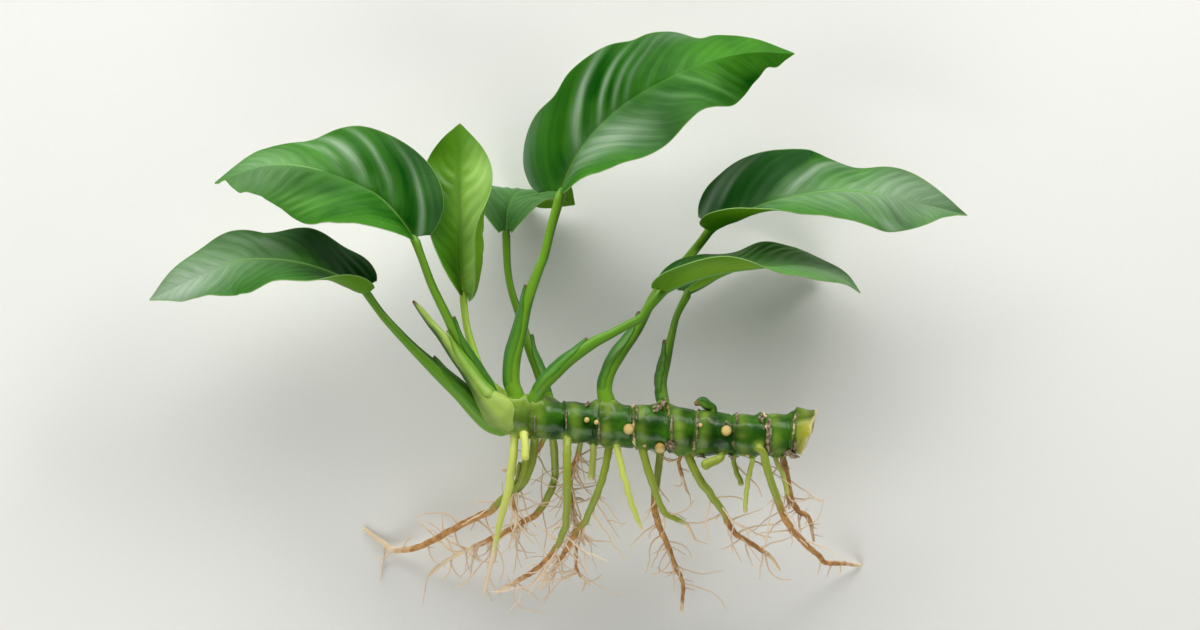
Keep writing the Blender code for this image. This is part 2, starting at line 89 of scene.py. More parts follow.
# Where each root or stalk of the rhizome's sides leaves it: its X, the angle round the rhizome from +Z
# towards +Y in degrees, and its radius there.
SEATS = {
    "petiole_rear": (-4, 116, 2.2), "petiole_top": (-15, 76, 2.8), "petiole_right_high": (16.5, 83, 3.0),
    "petiole_right_low": (-8, 62, 2.5), "petiole_right_rear": (36.5, 107, 2.3),
    "root_01": (-15.5, -74, 1.5), "root_02": (-12, -50, 1.5), "root_03": (-8.5, -107, 1.5),
    "root_04": (-2, -115, 1.4), "root_05": (3, -55, 1.5), "root_06": (17.5, -81, 1.4),
    "root_07": (12, -102, 1.2), "root_08": (20.5, -62, 1.2), "root_09": (29.5, -69, 1.4),
    "root_10": (35.5, -104, 1.4), "root_11": (46, -80, 1.5), "root_12": (61.5, -104, 0.9),
    "root_13": (68, -97, 0.9), "root_14": (70, -31, 1.4), "root_15": (76, -84, 0.9),
    "root_16": (78.5, -115, 1.2), "root_17": (42.5, -91, 0.7), "root_18": (-5, -127, 1.0),
    "root_19": (7.5, -122, 1.0), "root_20": (57, -59, 1.2), "root_21": (-11.5, -90, 1.0),
}

# Each stalk's route up to its blade, each point with its radius.
PETIOLES = {
    "left_low": [(-19, -36.4, 44, 4.0), (-23.5, -34.8, 45, 4.1), (-28, -31.5, 46, 3.4), (-34, -25, 47, 3.1),
                 (-42, -17.5, 47.5, 2.6), (-51, -9, 48, 1.8), (-59.5, 0, 49, 1.5), (-63.5, 5, 49.5, 1.4),
                 (-67, 10, 50, 1.5)],
    "left_high": [(-21, -31, 44, 2.6), (-24.5, -22.5, 45, 2.0), (-27, -19, 46.5, 2.0),
                  (-31.5, -12.5, 48.5, 2.0), (-35, -6.5, 50, 1.8), (-39, 2, 52, 1.6), (-44, 12.5, 54, 1.5),
                  (-47.5, 22, 56, 1.4), (-49.5, 27.5, 57, 1.6)],
    "young": [(-17.5, -31.5, 41, 2.6), (-20, -26, 40, 2.1), (-24, -22.5, 40, 2.0), (-27.5, -17.5, 40.5, 1.8),
              (-30, -10, 41.5, 1.5), (-32.3, -1, 42.5, 1.3), (-33.3, 7.5, 44, 1.4)],
    "rear": [(-7, -17.5, 39, 2.0), (-10, -10, 38, 1.8), (-13.5, 1.5, 37, 1.5), (-16.5, 10.5, 36, 1.3),
             (-18, 19, 34.5, 1.3), (-18.5, 30.5, 33, 1.5)],
    "top": [(-16.5, -21, 46, 3.0), (-16, -13, 46, 2.9), (-13.5, -3.5, 46, 2.5), (-11, 7, 46.5, 2.1),
            (-7, 18, 47, 1.7), (-5, 23, 47, 1.6), (-2.5, 33, 47.5, 1.6), (0.5, 43.5, 48, 1.8)],
    "right_high": [(16, -23.5, 45, 2.7), (17.5, -17.5, 44.5, 2.6), (22, -10, 42.5, 2.5),
                   (27.5, -2.5, 40.5, 2.0), (34.5, 10.5, 38, 1.6), (40.5, 17, 37.5, 1.6), (46, 23, 38, 1.6),
                   (51, 29.3, 40.5, 1.6), (52.5, 31.5, 42, 1.7)],
    "right_low": [(-5.5, -22, 49.5, 2.5), (-1.5, -18, 50, 2.5), (4, -13, 50.5, 2.3), (12, -7.5, 51, 2.0),
                  (18, -4.5, 51.5, 1.6), (23.5, -1.5, 51.5, 1.5), (29, 1.5, 52, 1.5), (32, 5.5, 52.5, 1.6),
                  (35.5, 9.5, 53, 1.7)],
    "right_rear": [(36, -21.5, 39.5, 2.0), (37.5, -14, 38, 1.9), (39.5, -5.5, 36.5, 1.4), (41.5, 2, 35, 1.2),
                   (45, 9, 34, 1.5)],
}

# The sheaths along the stalks and round the crown. Each has the strand it wraps, where it starts and ends as
# shares of that strand, the way it faces as degrees round it from +X towards +Y, how wide it wraps in
# degrees, how far it stands off, and how brown and ragged it is.
WINGS = {
    "left_low": ("left_low", 0.02, 0.52, 50, 120, 0.1, 0.45),
    "left_high": ("left_high", 0.02, 0.56, 20, 115, 0.1, 0.5),
    "rear": ("rear", 0.05, 0.42, 20, 110, 0.1, 0.6),
    "top": ("top", 0.05, 0.56, 165, 125, 0.1, 0.6),
    "right_high": ("right_high", 0.05, 0.5, 150, 120, 0.1, 0.9),
    "right_low": ("right_low", 0.05, 0.5, 120, 120, 0.1, 0.5),
    "right_rear": ("right_rear", 0.05, 0.6, 175, 120, 0.15, 1.9),
    "crown_inner": ("crown", 0.26, 0.74, 50, 100, 0.4, 0.3),
}

# The pointed sheath in the crown, from the swollen crown to its tip.
SHEATH = [
    (-13.5, -36.3, 43, 3.0), (-17, -34.2, 45, 5.4), (-21, -31.2, 47.3, 6.0), (-24.3, -27.5, 49.5, 4.5),
    (-27.5, -23.5, 50.5, 3.1), (-31, -18.5, 51, 2.4), (-35.5, -12.5, 51.5, 2.15), (-40, -6, 52.5, 1.8),
    (-44.5, -0.5, 53, 1.45), (-48, 4, 54, 1.1), (-50.5, 7, 54.5, 0.5),
]

# Each blade: its midrib from the stalk to the tip, its half width, where it is widest as a share of its
# length, how full its tip is, how far its base lobes reach back, and how its two halves stand. A blade that
# bends over also has the way its upper side faces along it. Tilts are degrees from the resting surface's
# plane at even steps from base to tip, positive towards +Z, for the half on the left and the right of
# someone walking up the midrib. Roll is how much more a half turns from midrib to margin, and curl is how
# much further its margin stands. Ripple is the margin's waves: (degrees, waves along the blade, phase). A
# half that gives no roll, curl or ripple has none.
BLADES = {
    "left_low": {
        "midrib": [(-67.4, 11, 50), (-74, 14, 50.5), (-82, 17.5, 50.5), (-90, 20, 50), (-98, 21.3, 48.5),
                   (-106, 21.5, 47), (-114, 20.6, 45), (-129, 14.5, 41), (-143.5, 7.5, 38)],
        "half_width": 18,
        "widest": 0.3,
        "fullness": 2.3,
        "lobes": (2.5, 3),
        "left_tilt": [35, 66, 57, 44, 47, 42],
        "right_tilt": [-45, -47, -50, -49, -32, -18],
        "left_ripple": (3, 3, 0.1),
        "right_ripple": (5, 3.3, 0.2),
        "left_roll": [76, 16, 0, 0, 0, 0],
    },
    "left_high": {
        "midrib": [(-50.3, 29, 57), (-55.5, 36.4, 58), (-62.5, 43.4, 58.5), (-69.5, 47.4, 58),
                   (-76.5, 50.4, 57), (-85, 53, 56), (-94, 54.4, 54.5), (-103, 54, 53), (-110, 52, 51.5),
                   (-120, 48.3, 49)],
        "half_width": 22,
        "widest": 0.27,
        "fullness": 2.2,
        "base": 0.5,
        "lobes": (0.4, 2.6),
        "left_tilt": [84, 62, 35, 8, 15, 40],
        "right_tilt": [-5, -20, -20, -51, -58, -50],
        "left_ripple": (1.5, 3, 0.1),
        "right_ripple": (2, 3, 0.75),
    },
    "young": {
        "midrib": [(-33.3, 9.3, 44.5), (-34.2, 18, 45.5), (-34.6, 28.5, 46), (-34.9, 42.5, 46),
                   (-34.9, 60, 44.5), (-34.5, 69.3, 43)],
        "half_width": 13.5,
        "widest": 0.5,
        "fullness": 3,
        "lobes": (0, 2.5),
        "left_tilt": [76, 58, 38, 25, 8, 30],
        "right_tilt": [5, 5, 8, 20, 10, 0],
        "right_curl": [55, 60, 55, 10, 0, 0],
    },
    "rear": {
        "midrib": [(-18.5, 31.8, 34), (-18, 39, 30.5), (-16, 44.5, 24), (-12.5, 46.6, 18), (-8, 46.2, 13),
                   (-1, 44.3, 9), (5.5, 41.5, 6)],
        "facing": [(0, 0.4, 1), (0, 0.9, 0.6), (0, 1, -0.2), (0, 0.6, -1)],
        "half_width": 18,
        "widest": 0.4,
        "fullness": 2.3,
        "lobes": (3, 3),
        "left_tilt": [60, 28, 0, 0, 10, 20],
        "right_tilt": [60, 28, 2, 0, 0, 0],
        "left_ripple": (5, 2, 0.1),
        "right_ripple": (5, 2, 0.2),
    },
    "top": {
        "midrib": [(0.6, 45.3, 48), (5, 55.7, 49), (10.2, 63.7, 50), (16.6, 70.5, 50.5), (23, 75.8, 51),
                   (30.4, 80.6, 51), (37.8, 84.5, 51), (45.2, 88, 50.5), (52.7, 90.9, 50), (61, 93, 49),
                   (69.6, 94.1, 48), (82.5, 93.7, 45)],
        "half_width": 21.5,
        "widest": 0.3,
        "fullness": 2.8,
        "lobes": (4, 0),
        "left_tilt": [0, -9, -12, -34, -54, -55],
        "right_tilt": [80, 50, 20, 38, 0, 0],
    },
    "right_high": {
        "midrib": [(53.4, 32.4, 43), (60, 35.6, 44.5), (69.5, 40.2, 46), (76, 42.4, 47), (83.5, 44, 47.5),
                   (91, 45, 48), (101, 45.6, 47), (110, 44.6, 45), (119.5, 42.9, 42.5), (131, 40.4, 39.5),
                   (143.3, 37.2, 37)],
        "half_width": 19,
        "widest": 0.28,
        "fullness": 2.3,
        "lobes": (2.8, 2.2),
        "left_tilt": [-14, -16, -36, -57, -18, -8],
        "right_tilt": [58, 62, 66, 43, 16, 78],
        "left_ripple": (2, 3, 0.1),
        "right_ripple": (2, 3, 0.6),
        "right_roll": [64, 26, 0, 0, 0, 0],
    },
    "right_low": {
        "midrib": [(36.4, 10.4, 53), (44.3, 14, 54), (52.7, 16.5, 55), (59, 17.7, 55), (67, 18.6, 54.5),
                   (75, 19.3, 53.5), (84.5, 19.6, 51.5), (93.3, 17.7, 49), (100.3, 14.5, 47),
                   (105.5, 10, 45)],
        "half_width": 16,
        "widest": 0.32,
        "fullness": 2.3,
        "lobes": (2.5, 3.0),
        "left_tilt": [-50, -60, -66, -54, -66, -60],
        "right_tilt": [124, 111, 101, 72, 70, 74],
        "left_ripple": (3, 2.5, 0),
        "right_ripple": (2, 3, 0.4),
    },
    "right_rear": {
        "midrib": [(45.5, 10.5, 33.5), (50.6, 12.8, 30), (57, 16.4, 26), (65.5, 19.2, 20), (75, 20.5, 13.5),
                   (86, 19.5, 7), (95, 16, 2.5)],
        "half_width": 12,
        "widest": 0.36,
        "fullness": 2.3,
        "lobes": (2, 2),
        "left_tilt": [-60, -66, -66, -60, -60, -60],
        "right_tilt": [85, 84, 84, 84, 84, 80],
        "right_curl": [20, 8, 0, 0, 0, 0],
        "left_ripple": (4, 2, 0.1),
        "right_ripple": (4, 2, 0.2),
    },
}
STRAIGHT = [0, 0]
STILL = (0, 1, 0)
# How a blade's colour changes over it: partly its own changes of green, partly painted light and shade and
# painted sheen. Each spot is the share of the length where its side vein starts, its place across (1 is the
# left margin), how far it spreads along and across, how much brighter it is painted, and how much painted
# sheen it carries.
TONE_AND_LIGHT_SPOTS = {
    "left_low": [
        (0.05, -0.6, 0.2, 0.8, -0.7, 0.0), (0.26, -0.15, 0.1, 0.16, 0.35, 0.0),
        (0.34, -0.55, 0.035, 0.3, 0.1, 0.5), (0.42, -0.7, 0.03, 0.3, 0.1, 0.35),
        (0.2, 0.5, 0.2, 0.6, -0.2, 0.0), (0.9, -0.3, 0.4, 1.1, 0.2, 1.0), (0.8, 0.6, 0.2, 0.7, 0.1, 0.7),
    ],
    "left_high": [
        (-0.12, -0.8, 0.1, 0.5, -0.45, 0.1), (-0.02, -0.5, 0.02, 0.35, 0.0, 0.6),
        (0.05, -0.4, 0.04, 0.5, -0.45, 0.0), (0.16, -0.6, 0.022, 0.4, 0.1, 0.6),
        (0.23, -0.5, 0.03, 0.5, -0.35, 0.0), (0.31, -0.55, 0.035, 0.4, 0.25, 0.95),
        (0.41, -0.6, 0.025, 0.4, 0.2, 0.6), (0.1, 0.4, 0.1, 0.6, -0.25, 0.0),
        (0.38, 0.3, 0.07, 0.14, -0.4, 0.0), (0.38, 0.7, 0.16, 0.3, 0.4, 0.1),
        (0.75, 0.0, 0.2, 1.2, 0.3, 0.45),
    ],
    "young": [
        (0.2, 0.6, 0.4, 0.6, -0.5, 0.0), (0.5, -0.5, 0.25, 0.5, 0.5, 0.55),
        (0.2, -0.6, 0.25, 0.35, 0.3, 0.5), (0.05, -0.3, 0.12, 0.5, 0.4, 0.25),
        (0.4, 0.0, 0.6, 0.07, -0.3, 0.0),
    ],
    "rear": [(0.4, 0.0, 1.2, 2.0, 0.0, 0.15)],
    "top": [
        (-0.16, 0.6, 0.12, 0.8, -0.5, 0.1), (-0.14, 0.95, 0.08, 0.15, 0.0, 0.4),
        (0.06, 0.5, 0.04, 0.8, -0.25, 0.0), (0.15, 0.55, 0.022, 0.45, 0.1, 0.95),
        (0.21, 0.6, 0.03, 0.6, -0.5, 0.0), (0.265, 0.45, 0.012, 0.4, 0.1, 0.75),
        (0.3, 0.5, 0.012, 0.5, -0.3, 0.0), (0.33, 0.4, 0.011, 0.35, 0.1, 0.5),
        (0.38, 0.4, 0.012, 0.4, 0.0, 0.25), (0.18, -0.35, 0.15, 0.3, 0.1, 0.85),
        (0.2, -0.85, 0.15, 0.25, -0.15, 0.1), (0.46, -0.4, 0.02, 0.5, 0.15, 0.15),
        (0.4, 0.0, 0.2, 1.2, -0.2, 0.0), (0.52, -0.5, 0.02, 0.6, -0.25, 0.0),
        (0.58, -0.4, 0.02, 0.5, 0.25, 0.15), (0.72, -0.85, 0.08, 0.25, -0.5, 0.0),
        (0.8, 0.3, 0.25, 1.0, 0.1, 0.0), (0.45, 0.95, 0.1, 0.2, -0.2, 0.3),
    ],
    "right_high": [
        (-0.05, 0.6, 0.2, 0.9, -0.7, 0.0), (-0.2, 0.9, 0.06, 0.25, 0.1, 0.6),
        (-0.06, 0.7, 0.035, 0.35, 0.1, 0.55), (0.0, 0.65, 0.02, 0.3, 0.1, 0.4),
        (0.17, 0.6, 0.05, 0.6, -0.6, 0.0), (0.3, 0.5, 0.035, 0.5, 0.0, 0.7),
        (0.2, 0.3, 0.03, 0.4, -0.3, 0.0), (0.36, 0.85, 0.05, 0.3, -0.2, 0.1),
        (0.36, -0.3, 0.3, 0.6, 0.15, 0.3), (0.5, -0.3, 0.025, 0.3, -0.4, 0.0),
        (0.75, 0.3, 0.26, 1.2, 0.2, 0.8), (0.56, -0.85, 0.05, 0.2, 0.3, 0.7),
        (0.66, -0.6, 0.025, 0.3, -0.3, 0.0),
    ],
    "right_low": [
        (-0.12, 0.5, 0.12, 0.9, -0.5, 0.0), (0.35, 0.4, 0.35, 1.2, 0.8, 0.15),
        (0.8, 0.1, 0.25, 1.2, 0.4, 0.7),
    ],
    "right_rear": [(0.2, 0.5, 0.3, 0.8, -0.3, 0.0), (-0.05, -0.5, 0.1, 0.5, 0.4, 0.2)],
}
# Where a margin is not on its even curve: the half, its share of the length, how far along the margin it
# reaches as a share of the length, and how much width it loses there.
DENTS = {
    "left_low": [("left", 0.72, 0.04, 0.8), ("left", 0.86, 0.04, -0.7)],
    "left_high": [
        ("left", 0.955, 0.018, 2.6), ("left", 0.9, 0.02, -1.4), ("right", 0.62, 0.05, 0.9),
    ],
    "top": [
        ("left", 0.235, 0.05, 2.2), ("left", 0.5, 0.045, 1.6), ("left", 0.7, 0.045, 3.8),
        ("right", 0.76, 0.075, -2.2), ("right", 0.905, 0.02, 1.4), ("right", 0.945, 0.02, -0.8),
    ],
    "right_high": [
        ("left", 0.12, 0.05, 0.6), ("right", 0.9, 0.03, 0.6), ("right", 0.28, 0.05, -1.2),
        ("right", 0.42, 0.05, 1.2),
    ],
}

# Each root's route from the rhizome outwards, each point with its radius.
ROOTS = {
    "root_01": [(-16, -48.5, 48, 1.5), (-17.5, -59, 47, 1.4), (-19.5, -66, 44, 1.3), (-21.5, -75, 38, 1.0),
                (-23.5, -84, 31, 0.8), (-26.5, -96.5, 21, 0.4)],
    "root_02": [(-11.5, -43.5, 51, 1.4), (-11.5, -47.5, 52, 1.4)],
    "root_03": [(-9.5, -49.5, 40, 1.5), (-13, -57.5, 38, 1.3), (-19, -61.5, 35, 1.3), (-24, -66.5, 31, 1.3),
                (-34, -71.5, 23, 1.2), (-48.5, -79.5, 10, 1.1), (-58, -81.5, 3.5, 1.0),
                (-63.5, -78.5, 1.2, 0.8), (-69.5, -74, 0.6, 0.6)],
    "root_03_branch": [(-13.6, -50, 36.5, 0.9), (-14.5, -55, 34.5, 0.8), (-17, -61, 32.5, 0.5)],
    "root_04": [(-1.5, -46.5, 37.5, 1.4), (-1.5, -55.5, 33, 1.3), (-4, -62, 30, 1.3), (-8, -68, 27, 1.2),
                (-13, -71, 24, 1.1), (-19, -74.5, 20, 1.1), (-26, -78, 15, 1.0), (-31.5, -80.5, 11, 0.8),
                (-37.5, -83.5, 8, 0.7), (-42, -86.5, 5, 0.6), (-46, -90.5, 2.5, 0.4)],
    "root_05": [(3, -44, 50.5, 1.5), (3, -52.5, 51.5, 1.5), (3, -62.5, 49, 1.4), (2.5, -70.5, 45, 1.3),
                (1, -75.5, 42, 1.2), (-2, -81, 38, 1.1), (-7, -86.5, 33, 1.0), (-13, -90.5, 27, 0.9),
                (-22.5, -96, 20, 0.5)],
    "root_06": [(15.5, -54.5, 45, 1.3), (13, -61.5, 43, 1.3), (9.5, -69.5, 39, 1.2), (5.5, -75, 36, 1.1),
                (3.5, -79, 33, 0.9), (-0.5, -85, 27, 0.7), (-7.5, -95, 18, 0.4)],
    "root_06_branch": [(4.2, -78, 33.4, 0.7), (6, -80, 32, 0.6), (6.5, -88, 27, 0.5), (10.5, -93, 22, 0.35)],
    "root_07": [(12, -48.5, 41, 1.2), (11.5, -55, 40, 1.2)],
    "root_08": [(23.5, -56.5, 48, 1.1), (26.5, -66.5, 45, 1.0), (29, -72.5, 42, 0.7)],
    "root_09": [(32, -54, 46.5, 1.4), (34.5, -61.5, 44, 1.2), (37, -66.5, 42, 1.1), (40.5, -69, 40, 1.0),
                (44.5, -71, 38, 0.8), (46, -73, 36, 0.6), (48, -77, 33, 0.4)],
    "root_10": [(34.5, -55.5, 39, 1.3), (33.5, -62.5, 37, 1.2), (34, -67.5, 35, 1.2), (35.5, -72.5, 32, 1.1),
                (38, -78, 27, 1.0), (40.5, -85, 21, 0.9), (43, -90.5, 15, 0.8), (44, -94.5, 11, 0.7),
                (43.5, -103, 5, 0.6)],
    "root_11": [(49.5, -55.5, 45, 1.5), (53.5, -61, 43, 1.4), (57.5, -66.5, 40, 1.2), (61, -73.5, 36, 1.0),
                (66, -77, 33, 0.9), (72, -81, 28, 0.8), (75.5, -84, 24, 0.7), (78, -88, 20, 0.4)],
    "root_12": [(62.5, -53, 41, 0.9), (64, -57, 40, 1.0)],
    "root_13": [(66, -57.5, 41, 0.9), (65.5, -66.5, 38, 0.8)],
    "root_14": [(71.5, -46, 51, 1.4), (73.5, -53.5, 49.5, 1.4), (78, -66, 43, 1.3), (81.5, -72.5, 37, 1.2),
                (87, -78.5, 28, 1.1), (92, -83, 20, 1.0), (94.5, -85.5, 15, 0.9), (100.5, -86, 7.5, 0.8),
                (107.5, -87, 0.5, 0.6)],
    "root_15": [(78, -52.5, 43.5, 0.9), (80, -59.5, 41.5, 0.8), (81, -65.5, 39, 0.5)],
    "root_16": [(80, -54, 37, 1.2), (81.5, -61.5, 34, 1.1), (84, -66.5, 31, 1.0), (87.5, -68.5, 28, 0.9),
                (89, -72, 25, 0.8), (90, -77.5, 21, 0.5)],
    "root_17": [(42, -49.5, 43, 0.7), (43.5, -55, 42, 0.6), (44.5, -58, 41, 0.4)],
    "root_18": [(-8, -46, 34, 0.9), (-14, -51, 30, 0.7), (-19.5, -52.5, 28, 0.8)],
    "root_19": [(6.5, -48, 36, 1.0), (5, -51.5, 34, 1.0), (4, -59.5, 32, 0.8), (6, -70, 28, 0.6),
                (9, -79, 23, 0.4)],
    "root_20": [(56, -47.9, 50, 1.5), (51.2, -50.1, 50.5, 1.85)],
    "root_21": [(-11.5, -47, 44.5, 1.0), (-13, -55.5, 43, 1.0), (-16, -60.5, 40, 0.8), (-15, -69.5, 34, 0.6),
                (-16.5, -76.5, 28, 0.4)],
}

# Where along a root its green turns to brown bark and then to pale new tissue, as shares of its length.
NEVER = 2  # beyond a root's end
BARK = {
    "root_01": (NEVER, 0.66), "root_02": (NEVER, NEVER), "root_03": (0.34, 0.84),
    "root_03_branch": (NEVER, 0.8), "root_04": (0.36, 0.74), "root_05": (0.56, 0.86),
    "root_06": (0.5, 0.78), "root_06_branch": (0, 0.7), "root_07": (NEVER, 0.98), "root_08": (NEVER, 0.95),
    "root_09": (NEVER, 0.78), "root_10": (0.22, 0.95), "root_11": (0.45, 0.82), "root_12": (NEVER, 0.98),
    "root_13": (NEVER, 0.95), "root_14": (0.3, 0.92), "root_15": (0.75, 0.9), "root_16": (0.06, 0.85),
    "root_17": (0, 0.7), "root_18": (0.2, 0.45), "root_19": (0.15, 0.8), "root_20": (NEVER, NEVER),
    "root_21": (0.55, 0.7),
}

# Knobs on the rhizome's skin: X, the angle round it, how far they spread and stand, and how corky they are.
KNOBS = [
    (83.3, 84, 2.5, 2.1, 0.05), (71, 88, 1.5, 1.6, 0.55), (38, -30, 2.6, 0.9, 0.3),
    (74, -33, 2.6, 1.2, 0.5), (31, 62, 1.6, 1.0, 0.5), (5, -65, 2.2, 0.9, 0.0), (52, 45, 2.2, 0.7, 0.2),
]

# Rounded buds on the rhizome: X, the angle round it from +Z towards +Y, and the bud's radius.
BUDS = {
    "bud_front": (24.5, -5, 1.9),
    "bud_lower": (35.5, -47, 1.9),
    "bud_right": (58.5, 10, 1.9),
}
SHOOT_SEAT = (54, 78, 1.2)
SHOOT_BUD = [(52.0, -29.2, 46.2, 1.8), (50.3, -27.9, 46.6, 1.7), (48.0, -28.7, 46.4, 0.9)]


def through(values, share):
    """The value at a share of the way along evenly spaced values, on a smooth curve through them."""
    spans = len(values) - 1
    place = min(max(share, 0.0), 1.0) * spans
    index = min(int(place), spans - 1)
    f = place - index
    before = values[max(index - 1, 0)]
    start = values[index]
    end = values[index + 1]
    after = values[min(index + 2, spans)]
    return 0.5 * (
        2 * start
        + (end - before) * f
        + (2 * before - 5 * start + 4 * end - after) * f * f
        + (3 * start - before - 3 * end + after) * f * f * f
    )


def even_route(points, steps):
    """Points of a smooth curve through the guide points, spaced evenly by length, each a 4-vector."""
    guides = [Vector(p) for p in points]
    fine = [through(guides, i / 400) for i in range(401)]
    lengths = [0.0]
    for before, after in zip(fine, fine[1:]):
        lengths.append(lengths[-1] + (after.xyz - before.xyz).length)
    route = []
    index = 0
    for step in range(steps + 1):
        target = lengths[-1] * step / steps
        while index < len(fine) - 2 and lengths[index + 1] < target:
            index += 1
        span = lengths[index + 1] - lengths[index]
        route.append(fine[index].lerp(fine[index + 1], (target - lengths[index]) / span))
    return route


def route_length(route):
    """The length of a route, from point to point."""
    return sum((after.xyz - before.xyz).length for before, after in zip(route, route[1:]))


def ease(low, high, value):
    """0 below low, 1 above high and smooth between them."""
    f = min(max((value - low) / (high - low), 0.0), 1.0)
    return f * f * (3 - 2 * f)


def bump_at(distance, spread):
    """1 at no distance, and falling smoothly to nothing beyond the spread."""
    return math.exp(-((distance / spread) ** 2))


FINE_AXIS = even_route(RHIZOME, 400)


def ringed_radius(x, radius):
    """The rhizome's radius at a place along X, with the rings that stand on it."""
    return radius + RING_HEIGHT * sum(bump_at(x - place, RING_SPREAD) for place in RING_PLACES)


def on_rhizome(x, clock, height):
    """A point at a height over the rhizome's skin, and the direction straight out of it."""
    axis = min(FINE_AXIS, key=lambda station: abs(station.x - x))
    out = Vector((0, math.sin(math.radians(clock)), math.cos(math.radians(clock))))
    return axis.xyz + (ringed_radius(axis.x, axis.w) + height) * out, out


def seated_guides(seat, guides, flare):
    """Guide points that start inside the rhizome, a little wider there, and then follow the given ones."""
    x, clock, radius = seat
    inside = on_rhizome(x, clock, -1.6)[0]
    skin = on_rhizome(x, clock, 0.3)[0]
    bend = on_rhizome(x, clock, 0.6 + STUB)[0]
    return [(*inside, radius * flare), (*skin, radius * (1 + flare) / 2), (*bend, radius)] + guides


def half_width(name, blade, share, side):
    """Half the blade's width at a share of its length: a blunt round base and a long drawn-out tip."""
    widest = blade["widest"]
    if share < widest:
        full = (1 - (1 - share / widest) ** 2.4) ** blade.get("base", 0.4)
        least = STALK_WIDTH
    else:
        full = (1 - ((share - widest) / (1 - widest)) ** blade["fullness"]) ** 1.05
        least = TIP_WIDTH
    dents = sum(
        loss * bump_at(share - at, spread) for half, at, spread, loss in DENTS.get(name, ()) if half == side
    )
    return max(blade["half_width"] * full - dents, least)


def midrib_route(blade):
    """The midrib's points, evenly spaced by length."""
    return [point.xyz for point in even_route([(*p, 0) for p in blade["midrib"]], MIDRIB_STEPS)]


def blade_frame(blade, midrib, share):
    """The midrib's place at a share of a blade's length, and the ways along it, to its left and up."""
    here = through(midrib, share)
    step = 0.01
    along = (through(midrib, share + step) - through(midrib, share - step)).normalized()
    facing = [Vector(direction) for direction in blade.get("facing", [(0, 0, 1), (0, 0, 1)])]
    left = through(facing, share).cross(along).normalized()
    return here, along, left, along.cross(left)


def blade_point(name, blade, midrib, share, across):
    """A point of the blade's middle surface, with across from -1, the right margin, to 1, the left one."""
    here, along, left, up = blade_frame(blade, midrib, share)
    side = "left" if across >= 0 else "right"
    out = abs(across)
    swing, waves, phase = blade.get(side + "_ripple", STILL)
    ripple = swing * out * out * math.sin(2 * math.pi * (waves * share + phase))
    tilt = through(blade[side + "_tilt"], share)
    curl = through(blade.get(side + "_curl", STRAIGHT), share)
    roll = through(blade.get(side + "_roll", STRAIGHT), share)
    angle = math.radians(tilt + roll * out + curl * out**3 + ripple)
    outward = left if across >= 0 else -left
    reach = half_width(name, blade, share, side) * out
    lobe = blade["lobes"][0 if across >= 0 else 1]
    back = lobe * out**1.5 * math.exp(-((share / LOBE_SPREAD) ** 2)) * min(share / 0.007, 1)
    return here + reach * (math.cos(angle) * outward + math.sin(angle) * up) - back * along


def across_ways(route):
    """For each point of a route, the way along it and two ways across it, which don't twist."""
    ways = []
    side = Vector((0, 0, 1))
    for index in range(len(route)):
        before = route[max(index - 1, 0)].xyz
        after = route[min(index + 1, len(route) - 1)].xyz
        along = (after - before).normalized()
        side = (side - side.dot(along) * along).normalized()
        ways.append((along, side, along.cross(side)))
    return ways


def rolled_sheet(bm, rows, sides, place):
    """Adds a sheet of rows by sides cells, rolled into a closed strand by place(row, turn).

    The turn goes from 0 to 1 round the strand, and the first and last rows are its two poles.
    """
    uv = bm.loops.layers.uv.get("guide") or bm.loops.layers.uv.new("guide")
    made = bmesh.ops.create_grid(bm, x_segments=rows, y_segments=sides, size=1, calc_uvs=True)["verts"]
    for vertex in made:
        row = round((vertex.co.x + 1) / 2 * rows)
        turn = (vertex.co.y + 1) / 2
        vertex.co = place(vertex, row, turn)
    bmesh.ops.remove_doubles(bm, verts=made, dist=1e-4)
    return uv


def add_strand(bm, route, sides, swell=None, marks=None):
    """Adds a round strand along a route of (x, y, z, radius), with rounded ends.

    swell(share, turn, point) gives a height to add to its skin, and marks is {attribute: f(share)}.
    """
    start, end = route[0], route[-1]
    ways = across_ways(route)
    layers = {
        name: bm.verts.layers.float.get(name) or bm.verts.layers.float.new(name) for name in marks or {}
    }
    # Each end gets two more rows, which draw in to a pole.
    rings = [(0, -0.75 * start.w, 0.0), (0, -0.5 * start.w, 0.72)]
    rings += [(index, 0.0, 1.0) for index in range(len(route))]
    rings += [(len(route) - 1, 0.5 * end.w, 0.72), (len(route) - 1, 0.75 * end.w, 0.0)]

    def place(vertex, row, turn):
        index, ahead, width = rings[row]
        station = route[index]
        along, side, other = ways[index]
        share = index / (len(route) - 1)
        for name, layer in layers.items():
            vertex[layer] = marks[name](share)
        angle = -2 * math.pi * turn
        out = math.cos(angle) * side + math.sin(angle) * other
        point = station.xyz + ahead * along
        height = swell(share, turn, point + station.w * out) if swell and width else 0.0
        return point + (station.w + height) * width * out

    rolled_sheet(bm, len(rings) - 1, sides, place)


def finished(bm, name, finishes, replaced=(), modifiers=()):
    """Makes a piece of a bmesh in millimetres, at the origin, riding on the plant's body."""
    bmesh.ops.translate(bm, verts=bm.verts, vec=PLANT_OFFSET)
    bmesh.ops.scale(bm, verts=bm.verts, vec=(MM, MM, MM))
    mesh = bpy.data.meshes.new(name)
    bm.to_mesh(mesh)
    bm.free()
    mesh.shade_smooth()
    for finish in finishes:
        mesh.materials.append(finish)
    piece = bpy.data.objects.new(name, mesh)
    bpy.context.scene.collection.objects.link(piece)
    for kind, settings in modifiers:
        modifier = piece.modifiers.new(kind.lower(), kind)
        for key, value in settings.items():
            setattr(modifier, key, value)
    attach(piece, BODY)
    if replaced:
        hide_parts(*replaced)
    return piece


# ---- Finishes ----

MIX_FACTOR, MIX_A, MIX_B, MIX_OUT = 0, 6, 7, 2


